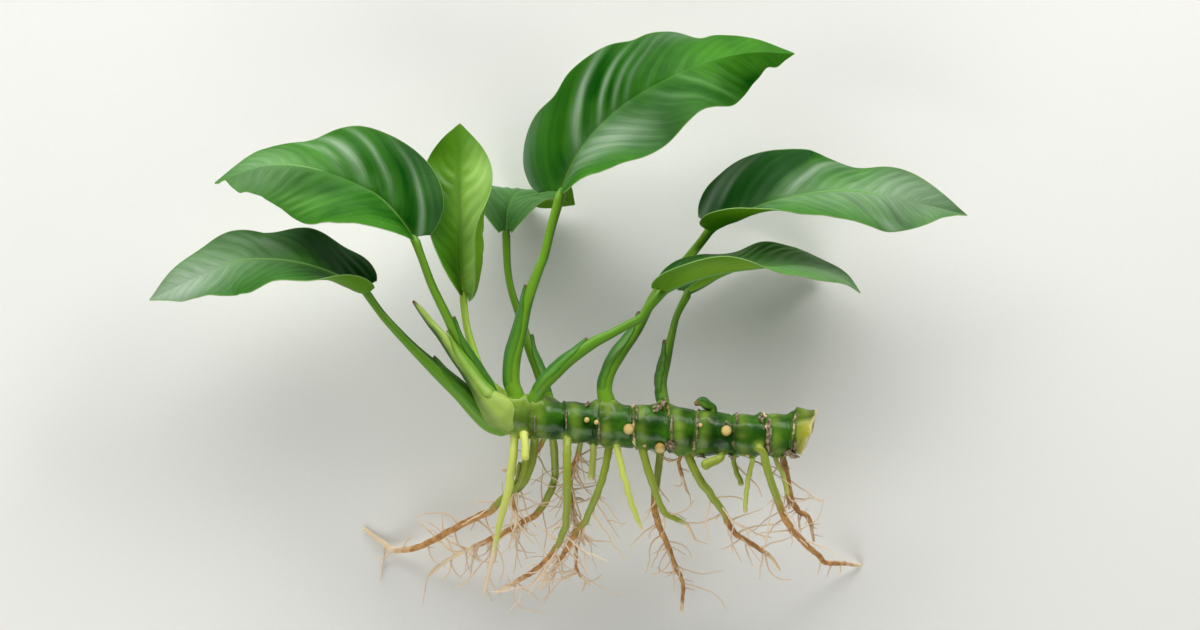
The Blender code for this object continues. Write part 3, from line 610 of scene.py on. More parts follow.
def linear(code):
    """A hex sRGB colour as linear RGBA."""
    parts = [int(code[i : i + 2], 16) / 255 for i in (0, 2, 4)]
    return tuple(p / 12.92 if p <= 0.04045 else ((p + 0.055) / 1.055) ** 2.4 for p in parts) + (1.0,)


def add_node(tree, kind, inputs=None, **settings):
    """Adds a shader node with its settings, and sets or links its inputs."""
    made = tree.nodes.new("ShaderNode" + kind)
    for key, value in settings.items():
        setattr(made, key, value)
    for socket, value in (inputs or {}).items():
        if isinstance(value, bpy.types.NodeSocket):
            tree.links.new(value, made.inputs[socket])
        else:
            made.inputs[socket].default_value = value
    return made


def set_ramp(ramp, stops):
    """Gives a colour ramp its stops, each a place and a value or colour."""
    elements = ramp.color_ramp.elements
    while len(elements) < len(stops):
        elements.new(0.5)
    for element, (place, value) in zip(elements, stops):
        element.position = place
        element.color = value if isinstance(value, tuple) else (value, value, value, 1.0)
    return ramp.outputs["Color"]


def new_finish(name, **sockets):
    """A new material: its node tree, its shader with these sockets set, and itself."""
    made = bpy.data.materials.new(name)
    made.use_nodes = True
    shader = made.node_tree.nodes["Principled BSDF"]
    for key, value in sockets.items():
        shader.inputs[key.replace("_", " ")].default_value = value
    return made.node_tree, shader, made


# How far red, green and blue light spread in green tissue, beside each other.
GREEN_SCATTER = (0.7, 1.0, 0.2)


def leaf_finish(name, deep, fresh, sheen_tint, vein, margin, roughness, sheen, lift):
    """Fresh leaf skin: a glossy cuticle over green tissue, with streaks along its side veins and a pale
    margin.

    Deep green, with painted light and shade, and a grey-green painted sheen in spots, in streaks and along
    the pleats' crests.
    """
    tree, shader, made = new_finish(
        name, IOR=1.42, Specular_IOR_Level=sheen, Subsurface_Weight=0.06, Subsurface_Scale=0.001,
        Subsurface_Radius=GREEN_SCATTER,
    )
    coordinates = add_node(tree, "TexCoord").outputs["Object"]
    tone = add_node(tree, "Attribute", attribute_name="tone").outputs["Fac"]
    painted_sheen = add_node(tree, "Attribute", attribute_name="painted_sheen").outputs["Fac"]
    edge = add_node(tree, "Attribute", attribute_name="edge").outputs["Fac"]
    rib = add_node(tree, "Attribute", attribute_name="rib").outputs["Fac"]
    grain_way = add_node(tree, "Attribute", attribute_name="grain").outputs["Vector"]
    # Cloudy change of green over about 14 mm, and streaks along the side veins about 1 mm apart.
    cloud = add_node(tree, "TexNoise", {"Vector": coordinates, "Scale": 70.0, "Detail": 3.0}).outputs["Fac"]
    streaks = add_node(tree, "TexNoise", {"Vector": grain_way, "Scale": 1.0, "Detail": 3.0}).outputs["Fac"]
    clouded = add_node(tree, "MapRange", {0: cloud, 1: 0.3, 2: 0.7, 3: -0.15, 4: 0.15}).outputs[0]
    streaked = add_node(tree, "MapRange", {0: streaks, 1: 0.3, 2: 0.7, 3: -0.08, 4: 0.08}).outputs[0]
    # The tone carries painted light and shade over the green's own changes.
    shifted = add_node(tree, "Math", {0: tone, 1: clouded}, operation="ADD").outputs[0]
    freshness = add_node(tree, "Math", {0: shifted, 1: streaked}, operation="ADD").outputs[0]
    steps = set_ramp(add_node(tree, "ValToRGB", {0: freshness}), [(0.0, 0.0), (0.5, 0.38), (1.0, 1.0)])
    green = add_node(tree, "Mix", {MIX_FACTOR: steps, MIX_A: deep, MIX_B: fresh}, data_type="RGBA")
    # The painted sheen is streaked as well.
    streaked_sheen = add_node(tree, "MapRange", {0: streaks, 1: 0.3, 2: 0.7, 3: 0.75, 4: 1.15}).outputs[0]
    # Painted sheen: grey-green mixed in where the blade would catch a sheen.
    sheen_painted = add_node(
        tree, "Math", {0: painted_sheen, 1: streaked_sheen}, operation="MULTIPLY", use_clamp=True
    ).outputs[0]
    sheen_mixed = add_node(
        tree, "Mix", {MIX_FACTOR: sheen_painted, MIX_A: green.outputs[MIX_OUT], MIX_B: sheen_tint}, data_type="RGBA"
    )
    ribbed = add_node(
        tree, "Mix", {MIX_FACTOR: rib, MIX_A: sheen_mixed.outputs[MIX_OUT], MIX_B: vein}, data_type="RGBA"
    )
    at_margin = set_ramp(add_node(tree, "ValToRGB", {0: edge}), [(0.01, 0.55), (0.032, 0.0)])
    edged = add_node(
        tree, "Mix", {MIX_FACTOR: at_margin, MIX_A: ribbed.outputs[MIX_OUT], MIX_B: margin}, data_type="RGBA"
    )
    tree.links.new(edged.outputs[MIX_OUT], shader.inputs["Base Color"])
    dull = add_node(tree, "MapRange", {0: sheen_painted, 1: 0.0, 2: 1.0, 3: roughness, 4: roughness + 0.14})
    tree.links.new(dull.outputs[0], shader.inputs["Roughness"])
    # The streaks stand out a little, with a grain of cells, 0.7 mm across so that it can be seen.
    cells = add_node(tree, "TexVoronoi", {"Vector": coordinates, "Scale": 1400.0}).outputs["Distance"]
    grain = add_node(tree, "Bump", {"Height": cells, "Strength": 0.2, "Distance": 0.00004})
    relief = add_node(
        tree, "Bump", {"Height": streaks, "Strength": 0.5, "Distance": lift, "Normal": grain.outputs[0]}
    )
    tree.links.new(relief.outputs[0], shader.inputs["Normal"])
    return made


def stalk_finish(name, shade, light, rib, stripe):
    """Leaf stalk: smooth green skin with fine length-wise ridges, a painted highlight stripe and painted
    shade round it.
    """
    tree, shader, made = new_finish(
        name, IOR=1.45, Specular_IOR_Level=0.3, Subsurface_Weight=0.1, Subsurface_Scale=0.002,
        Subsurface_Radius=GREEN_SCATTER,
    )
    guide = add_node(tree, "UVMap", uv_map="guide").outputs["UV"]
    parts = add_node(tree, "SeparateXYZ", {0: guide})
    coordinates = add_node(tree, "TexCoord").outputs["Object"]
    leafward = add_node(tree, "Attribute", attribute_name="leafward").outputs["Fac"]
    base = add_node(tree, "Attribute", attribute_name="base").outputs["Fac"]
    # The skin's green and its gloss change over about 9 mm.
    cloud = add_node(tree, "TexNoise", {"Vector": coordinates, "Scale": 110.0, "Detail": 2.0}).outputs["Fac"]
    # A painted highlight runs along the stalk's lit side, with painted shade away from it, and wanders a
    # little.
    around = add_node(tree, "Math", {0: parts.outputs[1], 1: stripe}, operation="SUBTRACT").outputs[0]
    turn = add_node(tree, "Math", {0: around, 1: 2 * math.pi}, operation="MULTIPLY").outputs[0]
    lit = add_node(tree, "Math", {0: turn}, operation="COSINE").outputs[0]
    wander = add_node(tree, "Math", {0: lit, 1: cloud}, operation="ADD").outputs[0]
    striped = set_ramp(add_node(tree, "ValToRGB", {0: wander}), [(0.2, 0.05), (1.0, 0.85)])
    green = add_node(tree, "Mix", {MIX_FACTOR: striped, MIX_A: shade, MIX_B: light}, data_type="RGBA")
    # Paler towards the base: partly the stalk's own paler base, partly a painted sheen where it flares into
    # the rhizome.
    pale = set_ramp(add_node(tree, "ValToRGB", {0: base}), [(0.0, 0.0), (1.0, 0.75)])
    based = add_node(
        tree, "Mix", {MIX_FACTOR: pale, MIX_A: green.outputs[MIX_OUT], MIX_B: light}, data_type="RGBA"
    )
    ribbed = add_node(
        tree, "Mix", {MIX_FACTOR: leafward, MIX_A: based.outputs[MIX_OUT], MIX_B: rib}, data_type="RGBA"
    )
    tree.links.new(ribbed.outputs[MIX_OUT], shader.inputs["Base Color"])
    dull = add_node(tree, "MapRange", {0: cloud, 1: 0.3, 2: 0.7, 3: 0.3, 4: 0.44})
    tree.links.new(dull.outputs[0], shader.inputs["Roughness"])
    # Eighteen fine ridges run along the stalk, 0.5 to 1.4 mm apart.
    ridge_turn = add_node(
        tree, "Math", {0: parts.outputs[1], 1: 36 * math.pi}, operation="MULTIPLY"
    ).outputs[0]
    ridges = add_node(tree, "Math", {0: ridge_turn}, operation="SINE").outputs[0]
    relief = add_node(tree, "Bump", {"Height": ridges, "Strength": 0.3, "Distance": 0.00004})
    tree.links.new(relief.outputs[0], shader.inputs["Normal"])
    return made


def sheath_finish(name, green, pale, brown):
    """Leaf sheath: a thin green membrane, drying to a papery brown along its free edge."""
    tree, shader, made = new_finish(
        name, IOR=1.4, Roughness=0.45, Subsurface_Weight=0.15, Subsurface_Scale=0.001
    )
    coordinates = add_node(tree, "TexCoord").outputs["Object"]
    dry = add_node(tree, "Attribute", attribute_name="dry").outputs["Fac"]
    share = add_node(tree, "Attribute", attribute_name="share").outputs["Fac"]
    # The membrane dries unevenly, in patches of about 4 mm.
    cloud = add_node(tree, "TexNoise", {"Vector": coordinates, "Scale": 260.0, "Detail": 4.0}).outputs["Fac"]
    # Painted highlight down the sheath's middle, with painted shade towards its edges.
    middle = add_node(tree, "Attribute", attribute_name="middle").outputs["Fac"]
    lit = set_ramp(add_node(tree, "ValToRGB", {0: middle}), [(0.2, 0.0), (0.95, 0.8)])
    body = add_node(tree, "Mix", {MIX_FACTOR: lit, MIX_A: green, MIX_B: pale}, data_type="RGBA")
    tissue = add_node(
        tree, "Mix", {MIX_FACTOR: share, MIX_A: body.outputs[MIX_OUT], MIX_B: green}, data_type="RGBA"
    )
    uneven = add_node(tree, "Math", {0: cloud, 1: 0.5}, operation="SUBTRACT").outputs[0]
    edge = add_node(tree, "Math", {0: dry, 1: uneven}, operation="ADD").outputs[0]
    browned = set_ramp(add_node(tree, "ValToRGB", {0: edge}), [(0.5, 0.0), (0.78, 1.0)])
    coloured = add_node(
        tree, "Mix", {MIX_FACTOR: browned, MIX_A: tissue.outputs[MIX_OUT], MIX_B: brown}, data_type="RGBA"
    )
    tree.links.new(coloured.outputs[MIX_OUT], shader.inputs["Base Color"])
    relief = add_node(tree, "Bump", {"Height": cloud, "Strength": 0.4, "Distance": 0.00008})
    tree.links.new(relief.outputs[0], shader.inputs["Normal"])
    return made


def rhizome_finish(name, deep, fresh, lime, dark, scar, pith, torn):
    """Rhizome skin: a glossy green rind, with corky brown leaf scars and a yellow-green cut end."""
    tree, shader, made = new_finish(
        name, IOR=1.45, Specular_IOR_Level=0.25, Subsurface_Weight=0.08, Subsurface_Scale=0.003,
        Subsurface_Radius=GREEN_SCATTER,
    )
    coordinates = add_node(tree, "TexCoord").outputs["Object"]
    corky = add_node(tree, "Attribute", attribute_name="scar").outputs["Fac"]
    lime_and_highlight = add_node(tree, "Attribute", attribute_name="lime_and_highlight").outputs["Fac"]
    cut = add_node(tree, "Attribute", attribute_name="cut").outputs["Fac"]
    # Patches of fresher green about 8 mm across, and cork with a grain of about 1 mm.
    cloud = add_node(tree, "TexNoise", {"Vector": coordinates, "Scale": 130.0, "Detail": 4.0}).outputs["Fac"]
    fine = add_node(tree, "TexNoise", {"Vector": coordinates, "Scale": 900.0, "Detail": 5.0}).outputs["Fac"]
    patches = set_ramp(add_node(tree, "ValToRGB", {0: cloud}), [(0.38, 0.0), (0.65, 1.0)])
    green = add_node(tree, "Mix", {MIX_FACTOR: patches, MIX_A: deep, MIX_B: fresh}, data_type="RGBA")
    # Lime at the growing end, and painted lime highlights after each ring and on the stalks' flares.
    young = add_node(
        tree, "Mix", {MIX_FACTOR: lime_and_highlight, MIX_A: green.outputs[MIX_OUT], MIX_B: lime}, data_type="RGBA"
    )
    uneven = add_node(tree, "Math", {0: fine, 1: 0.5}, operation="SUBTRACT").outputs[0]
    rough_scar = add_node(tree, "Math", {0: corky, 1: uneven}, operation="ADD").outputs[0]
    scarred = set_ramp(add_node(tree, "ValToRGB", {0: rough_scar}), [(0.42, 0.0), (0.7, 0.9)])
    cork = set_ramp(add_node(tree, "ValToRGB", {0: rough_scar}), [(0.45, dark), (0.68, scar), (1.0, torn)])
    rind = add_node(
        tree, "Mix", {MIX_FACTOR: scarred, MIX_A: young.outputs[MIX_OUT], MIX_B: cork}, data_type="RGBA"
    )
    ended = add_node(
        tree, "Mix", {MIX_FACTOR: cut, MIX_A: rind.outputs[MIX_OUT], MIX_B: pith}, data_type="RGBA"
    )
    rim = add_node(tree, "Attribute", attribute_name="rim").outputs["Fac"]
    rimmed = add_node(
        tree, "Mix", {MIX_FACTOR: rim, MIX_A: ended.outputs[MIX_OUT], MIX_B: torn}, data_type="RGBA"
    )
    tree.links.new(rimmed.outputs[MIX_OUT], shader.inputs["Base Color"])
    dull = add_node(tree, "MapRange", {0: rough_scar, 1: 0.3, 2: 0.7, 3: 0.27, 4: 0.8})
    tree.links.new(dull.outputs[0], shader.inputs["Roughness"])
    grain = add_node(tree, "Bump", {"Height": fine, "Strength": 0.35, "Distance": 0.00012})
    tree.links.new(grain.outputs[0], shader.inputs["Normal"])
    return made


def root_finish(name, green, bark, pale):
    """Root skin: smooth green near the rhizome, corky orange-brown further on, and cream at a growing end."""
    tree, shader, made = new_finish(name, IOR=1.42, Subsurface_Scale=0.001, Subsurface_Weight=0.1)
    coordinates = add_node(tree, "TexCoord").outputs["Object"]
    browned = add_node(tree, "Attribute", attribute_name="browned").outputs["Fac"]
    paled = add_node(tree, "Attribute", attribute_name="paled").outputs["Fac"]
    # The bark's brown and its roughness change over about 2.4 mm.
    cloud = add_node(tree, "TexNoise", {"Vector": coordinates, "Scale": 420.0, "Detail": 4.0}).outputs["Fac"]
    uneven = add_node(tree, "MapRange", {0: cloud, 1: 0.25, 2: 0.75, 3: -0.3, 4: 0.3}).outputs[0]
    brown_here = add_node(tree, "Math", {0: browned, 1: uneven}, operation="ADD").outputs[0]
    pale_here = add_node(tree, "Math", {0: paled, 1: uneven}, operation="ADD").outputs[0]
    brown_share = set_ramp(add_node(tree, "ValToRGB", {0: brown_here}), [(0.2, 0.0), (0.8, 1.0)])
    pale_share = set_ramp(add_node(tree, "ValToRGB", {0: pale_here}), [(0.2, 0.0), (0.85, 1.0)])
    shades = set_ramp(add_node(tree, "ValToRGB", {0: cloud}), [(0.3, bark[0]), (0.7, bark[1])])
    corky = add_node(tree, "Mix", {MIX_FACTOR: brown_share, MIX_A: green, MIX_B: shades}, data_type="RGBA")
    ended = add_node(
        tree, "Mix", {MIX_FACTOR: pale_share, MIX_A: corky.outputs[MIX_OUT], MIX_B: pale}, data_type="RGBA"
    )
    tree.links.new(ended.outputs[MIX_OUT], shader.inputs["Base Color"])
    dull = add_node(tree, "MapRange", {0: brown_share, 1: 0.0, 2: 1.0, 3: 0.4, 4: 0.68})
    tree.links.new(dull.outputs[0], shader.inputs["Roughness"])
    relief = add_node(tree, "Bump", {"Height": cloud, "Strength": 0.5, "Distance": 0.0001})
    tree.links.new(relief.outputs[0], shader.inputs["Normal"])
    return made


def husk_finish(name, dark, light):
    """Husk: dead leaf-base tissue, dried to brown paper with darker fibres."""
    tree, shader, made = new_finish(name, IOR=1.4, Roughness=0.8)
    coordinates = add_node(tree, "TexCoord").outputs["Object"]
    # Tufts of fibre about 1.4 mm across.
    fibres = add_node(tree, "TexNoise", {"Vector": coordinates, "Scale": 700.0, "Detail": 5.0}).outputs["Fac"]
    shades = set_ramp(add_node(tree, "ValToRGB", {0: fibres}), [(0.35, dark), (0.65, light)])
    tree.links.new(shades, shader.inputs["Base Color"])
    relief = add_node(tree, "Bump", {"Height": fibres, "Strength": 0.6, "Distance": 0.00015})
    tree.links.new(relief.outputs[0], shader.inputs["Normal"])
    return made


def bud_finish(name, skin, eye):
    """Dormant bud: smooth yellow-tan skin, paler at its crown."""
    tree, shader, made = new_finish(name, IOR=1.45, Subsurface_Scale=0.002, Subsurface_Weight=0.15)
    coordinates = add_node(tree, "TexCoord").outputs["Object"]
    crown = add_node(tree, "Attribute", attribute_name="crown").outputs["Fac"]
    # Small dimples, a little over 1 mm across.
    cloud = add_node(tree, "TexNoise", {"Vector": coordinates, "Scale": 800.0, "Detail": 3.0}).outputs["Fac"]
    shades = add_node(tree, "Mix", {MIX_FACTOR: crown, MIX_A: skin, MIX_B: eye}, data_type="RGBA")
    tree.links.new(shades.outputs[MIX_OUT], shader.inputs["Base Color"])
    dull = add_node(tree, "MapRange", {0: cloud, 1: 0.3, 2: 0.7, 3: 0.4, 4: 0.55})
    tree.links.new(dull.outputs[0], shader.inputs["Roughness"])
    relief = add_node(tree, "Bump", {"Height": cloud, "Strength": 0.3, "Distance": 0.0001})
    tree.links.new(relief.outputs[0], shader.inputs["Normal"])
    return made


def floor_finish(name, shade):
    """Matte paper sweep: an even pale ground with a very fine tooth."""
    tree, shader, made = new_finish(name, Roughness=0.9)
    coordinates = add_node(tree, "TexCoord").outputs["Object"]
    # The paper's tooth is drawn about 1 mm across, coarser than life, so that it shows at all.
    tooth = add_node(tree, "TexNoise", {"Vector": coordinates, "Scale": 900.0, "Detail": 2.0}).outputs["Fac"]
    darker = tuple(0.985 * part for part in shade[:3]) + (1.0,)
    shades = set_ramp(add_node(tree, "ValToRGB", {0: tooth}), [(0.3, darker), (0.7, shade)])
    tree.links.new(shades, shader.inputs["Base Color"])
    return made


# ---- Sizes and colours ----


def colour(label, about, code):
    """A colour that a user may change, with its hex sRGB default."""
    return FloatVectorProperty(
        name=label, description=about, subtype="COLOR", size=4, min=0, max=1, default=linear(code)
    )


class AnubiasSizes(bpy.types.PropertyGroup):
    leaf_thickness: FloatProperty(
        name="Leaf thickness", description="Thickness of a blade, in millimetres",
        default=0.3, min=0.2, max=1.5,
    )
    pleat_height: FloatProperty(
        name="Pleat height",
        description="How far the leaf stands out between two side veins, in millimetres",
        default=0.36, min=0, max=1.5,
    )
    rib_spacing: FloatProperty(
        name="Rib spacing", description="From one side vein to the next, in millimetres",
        default=5.6, min=2, max=15,
    )
    midrib_radius: FloatProperty(
        name="Midrib radius", description="Radius of the midrib at the blade's base, in millimetres",
        default=1.2, min=0.3, max=3,
    )
    rootlets: IntProperty(
        name="Rootlets", description="Number of fine side roots grown at random", default=140, min=0, max=600
    )
    rootlet_radius: FloatProperty(
        name="Rootlet radius", description="Radius of a fine side root at its start, in millimetres",
        default=0.38, min=0.1, max=0.6,
    )


class AnubiasColours(bpy.types.PropertyGroup):
    leaf_deep: colour("Leaf, deep", "Deep green of a blade's upper side", "0B4404")
    leaf_fresh: colour("Leaf, fresh", "Fresher green of a blade's upper side", "468420")
    # Painted sheen: the grey-green put on a blade where it would catch a sheen.
    leaf_painted_sheen: colour("Leaf, waxy", "Grey-green of a blade where its wax is thick", "8EA08B")
    leaf_vein: colour("Leaf veins", "Pale green of the veins", "5F9440")
    leaf_margin: colour("Leaf margin", "Thin pale edge of a blade", "7F9F56")
    under_deep: colour("Underside, deep", "Deeper green of a blade's underside", "3F7006")
    under_fresh: colour("Underside, fresh", "Lime green of a blade's underside", "648F10")
    young_deep: colour("Young leaf, deep", "Deeper green of the young leaf", "2E6204")
    young_fresh: colour("Young leaf, fresh", "Lime green of the young leaf", "6A9E12")
    # Painted highlight on the young leaf.
    young_painted_sheen: colour("Young leaf, waxy", "Pale green of the young leaf where it catches the light", "A9C878")
    # A stalk's painted shade and painted highlight: its stripe runs from the first to the second. The third
    # is the young stalk's painted highlight.
    stalk_shade: colour("Stalk, shaded side", "Deeper green of a stalk", "215A0C")
    stalk_light: colour("Stalk, light stripe", "Yellow-green of a stalk", "6E9C22")
    stalk_young: colour("Young stalk, light", "Bright lime of the young leaf's stalk", "C4E460")
    sheath_green: colour("Sheath", "Green of a leaf sheath, higher up", "2D6A12")
    # Also the painted highlight down a sheath's middle and along the deep green stalks.
    sheath_pale: colour("Sheath, base", "Paler green of a leaf sheath's base", "62941E")
    sheath_dry: colour("Dry sheath", "Papery brown edge of a leaf sheath", "5E4228")
    # The crown's painted shade and painted highlight; the second also stands for the swollen crown's own
    # paler green.
    crown_shade: colour("Crown, shaded", "Deep green of the sheath in the crown", "1F4E0A")
    crown_light: colour("Crown, light", "Pale green of the swollen crown", "A3BC58")
    rind_deep: colour("Rhizome, deep", "Deep green of the rhizome", "123A05")
    rind_fresh: colour("Rhizome, fresh", "Fresher green of the rhizome", "3A6A14")
    # Also the colour of the painted highlights after the rhizome's rings and on the stalks' flares.
    rind_lime: colour("Rhizome, young end", "Lime green of the rhizome's growing end", "94AE42")
    rind_scar: colour("Leaf scars", "Corky brown of the leaf scars", "8A713E")
    husk_dark: colour("Husks, dark", "Dark brown of dry leaf bases", "3E2F18")
    husk_light: colour("Husks, light", "Grey-brown of dry leaf bases", "A8977A")
    cut_end: colour("Cut end", "Yellow-green of the cut end", "A9A63A")
    root_green: colour("Root, green", "Green of a root near the rhizome", "8A9A30")
    root_lime: colour("Root, lime", "Yellow-green of a new root", "C4CE60")
    bark_dark: colour("Root bark, dark", "Darker orange-brown of an old root", "94622E")
    bark_light: colour("Root bark, light", "Lighter orange-brown of an old root", "C69858")
    root_pale: colour("Root, pale end", "Cream of a root's growing end", "E4CFAB")
    rootlet_skin: colour("Rootlets", "Pinkish tan of the fine side roots", "DCC5AB")
    bud_skin: colour("Bud", "Yellow-tan of a dormant bud", "A08538")
    bud_eye: colour("Bud crown", "Paler crown of a dormant bud", "CDB673")
    floor: colour("Floor", "Pale paper that the plant lies on", "E4E3DE")


# ---- Pieces ----


def spot_sum(name, vein, across):
    """How a blade's green is painted lighter and darker, and how much painted sheen it carries, at a side
    vein that starts at a share of its length.
    """
    tone, painted_sheen = 0.5, 0.0
    for at_vein, at_across, along_spread, across_spread, brighter, more_sheen in TONE_AND_LIGHT_SPOTS[name]:
        near = bump_at(math.hypot((vein - at_vein) / along_spread, (across - at_across) / across_spread), 1.0)
        tone += brighter * near
        painted_sheen += more_sheen * near
    return tone, painted_sheen


def grow_leaf(name, sizes, finishes):
    """One blade: a fine grid, bent and pleated between its side veins, and given its thickness."""
    blade = BLADES[name]
    midrib = midrib_route(blade)
    length = route_length(midrib)
    rows, columns = 170, 72
    bm = bmesh.new()
    layers = {key: bm.verts.layers.float.new(key) for key in ("tone", "painted_sheen", "edge", "rib")}
    grain = bm.verts.layers.float_vector.new("grain")
    heights = bm.verts.layers.float.new("height")
    bmesh.ops.create_grid(bm, x_segments=rows, y_segments=columns, size=1)
    for vertex in bm.verts:
        step = (vertex.co.x + 1) / 2
        share = 0.6 * step + 0.4 * (1 - math.cos(math.pi * step)) / 2
        out = abs(vertex.co.y)
        out = 0.45 * out + 0.55 * (1 - math.cos(math.pi * out)) / 2
        across = math.copysign(out, vertex.co.y)
        side = "left" if across >= 0 else "right"
        width = half_width(name, blade, share, side)
        span = width * out
        # A side vein leaves the midrib at about half a right angle and bends towards the tip.
        started = share * length - span * (0.8 + 0.5 * out)
        drift = noise.noise(Vector((share * 4, across * 1.5, len(name))))
        ribs = started / sizes.rib_spacing + drift * 0.5 + (0.5 if across >= 0 else 0.0)
        # The spots give the painted light and shade in the tone, and the painted sheen.
        tone, painted_sheen = spot_sum(name, started / length, across)
        # Painted highlight and painted sheen on the pleats' crests, where they would catch the light.
        crest = 0.5 - 0.5 * math.cos(2 * math.pi * ribs)
        pleated = ease(0.5, 3.0, span) * ease(0.0, 4.0, width - span) * (1 - 0.7 * ease(0.6, 1.0, share))
        patchy = max(0.0, 0.6 + 1.1 * noise.noise(Vector((share * 6 + 7, across * 2, 2 * len(name)))))
        vertex[layers["tone"]] = tone + 0.09 * (crest - 0.5) * pleated
        vertex[layers["painted_sheen"]] = max(0.0, painted_sheen * (0.72 + 0.3 * (crest - 0.5) * pleated))
        vertex[layers["edge"]] = (width - span) * 0.1
        wide = 0.22 + 0.8 * (1 - share) ** 4
        vertex[layers["rib"]] = bump_at(span, wide) * (0.16 + 0.38 * (1 - share) ** 3)
        vertex[grain] = (ribs * 5.0, span * 0.1, across)
        groove = -0.35 * bump_at(span, 0.8) * (1 - share)
        vertex[heights] = sizes.pleat_height * patchy * pleated * (crest - 0.5) + groove
        place = blade_point(name, blade, midrib, share, across)
        vertex[heights] += 0.7 * noise.noise(place / 13 + Vector((0, 0, len(name)))) * ease(1.0, 8.0, span)
        vertex.co = place
    bm.normal_update()
    for vertex, normal in [(v, v.normal.copy()) for v in bm.verts]:
        vertex.co += normal * vertex[heights]
    wall = {
        "thickness": sizes.leaf_thickness * MM, "offset": 0.0, "material_offset": 1, "material_offset_rim": 2
    }
    return finished(bm, "leaf_" + name, finishes, ["blade_" + name], [("SOLIDIFY", wall)])


def stalk_route(name):
    """A stalk's route from inside the rhizome to its blade."""
    guides = list(PETIOLES[name])
    seat = SEATS.get("petiole_" + name)
    if seat:
        guides = seated_guides(seat, guides, 1.45)
    return even_route(guides, STALK_STEPS)


def grow_stalk(name, sizes, finish):
    """One leaf stalk, which runs on along the underside of its blade as the midrib."""
    blade = BLADES[name]
    stalk = stalk_route(name)
    midrib = midrib_route(blade)
    rib = []
    for step in range(1, STALK_STEPS + 1):
        share = 0.97 * step / STALK_STEPS
        here, _, _, up = blade_frame(blade, midrib, share)
        radius = sizes.midrib_radius * (1 - share) ** 1.3 + 0.12
        rib.append(Vector((*(here - up * (1.02 * radius + 0.1)), radius)))
    route = stalk + rib
    join = (len(stalk) - 1) / (len(route) - 1)
    marks = {
        "leafward": lambda share: ease(join - 0.02, join + 0.1, share),
        # Paler near the rhizome, partly a painted sheen on the flare.
        "base": lambda share: 1 - ease(0.0, 0.22, share),
    }
    bm = bmesh.new()
    add_strand(bm, route, 20, marks=marks)
    return finished(bm, "stalk_" + name, [finish], ["petiole_" + name])


def grow_wing(name, finish):
    """The sheath along one side of a strand: a thin sheet curled round it, which ends in a free point."""
    strand, start, top, facing, wrap, stand, dryness = WINGS[name]
    route = even_route(SHEATH, SHEATH_STEPS) if strand == "crown" else stalk_route(strand)
    ways = across_ways(route)
    rows, columns = 60, 18
    bm = bmesh.new()
    dry = bm.verts.layers.float.new("dry")
    shares = bm.verts.layers.float.new("share")
    middle = bm.verts.layers.float.new("middle")
    bmesh.ops.create_grid(bm, x_segments=rows, y_segments=columns, size=1)
    facing_way = Vector((math.cos(math.radians(facing)), math.sin(math.radians(facing)), 0.0))
    for vertex in bm.verts:
        step = (vertex.co.x + 1) / 2
        across = vertex.co.y
        share = start + (top - start) * step
        place = share * (len(route) - 1)
        index = min(int(place), len(route) - 2)
        station = route[index].lerp(route[index + 1], place - index)
        along = ways[index][0]
        towards = facing_way + Vector((0, 0, 1.0 - 0.9 * ease(0.5, 1.0, step)))
        out = (towards - towards.dot(along) * along).normalized()
        turned = along.cross(out)
        front = math.copysign(1, along.cross(facing_way).z)
        narrow = (1 - 0.72 * ease(0.7, 1.0, step) ** 1.6) * (0.3 + 0.7 * ease(0.0, 0.12, step))
        angle = math.radians(wrap / 2) * across * narrow
        far = ease(0.5, 1.0, -across * front)
        flare = stand + (0.6 * far + 0.08) * ease(0.1, 0.5, step) + 0.25 * ease(0.7, 1.0, step)
        flare -= 0.8 * (1 - ease(0.0, 0.12, step))
        if strand != "crown":
            flare -= 0.3 * ease(0.75, 1.0, across * front)
        ragged = 0.25 * dryness * noise.noise(Vector((step * 9, across * 2, facing)))
        vertex.co = station.xyz + (station.w + flare + ragged) * (
            math.cos(angle) * out + math.sin(angle) * turned
        )
        vertex.co += along * dryness * 0.6 * noise.noise(Vector((across * 3, facing, 1))) * ease(0.8, 1, step)
        near_edge = ease(0.72, 0.95, -across * front) * ease(0.05, 0.3, step)
        near_edge = max(near_edge, 0.75 * ease(0.9, 1.0, across * front) * ease(0.45, 0.8, step))
        dried = max(near_edge, ease(0.93, 1.0, step)) * (0.7 + 0.3 * dryness)
        vertex[dry] = min(1.0, dried + 0.4 * dryness - 0.3)
        vertex[shares] = 0.7 * step
        # Where the sheath's painted highlight runs across it.
        vertex[middle] = 1 - abs(across * front - 0.45)
    wall = {"thickness": 0.28 * MM, "offset": 1.0}
    return finished(bm, "sheath_wing_" + name, [finish], (), [("SOLIDIFY", wall)])


def grow_crown(finish):
    """The swollen crown and the pointed sheath that grows out of it."""
    route = even_route(SHEATH, SHEATH_STEPS)
    marks = {
        # The swollen crown is paler: partly its own lime, partly a painted highlight.
        "base": lambda share: 0.6 - 0.6 * ease(0.22, 0.42, share),
        "leafward": lambda share: ease(0.955, 1, share),
    }
    bm = bmesh.new()

    def swell(share, turn, point):
        ridges = 0.22 * math.sin(2 * math.pi * 5 * turn + 4 * noise.noise(point / 9))
        uneven = 0.35 * noise.noise(point / 5) * (1 - share)
        return ridges * (1 - ease(0.2, 0.6, share)) + uneven - 0.5 * bump_at(share - 0.12, 0.03)

    add_strand(bm, route, 64, swell, marks)
    return finished(bm, "crown_sheath", [finish], ["young_sheath"])


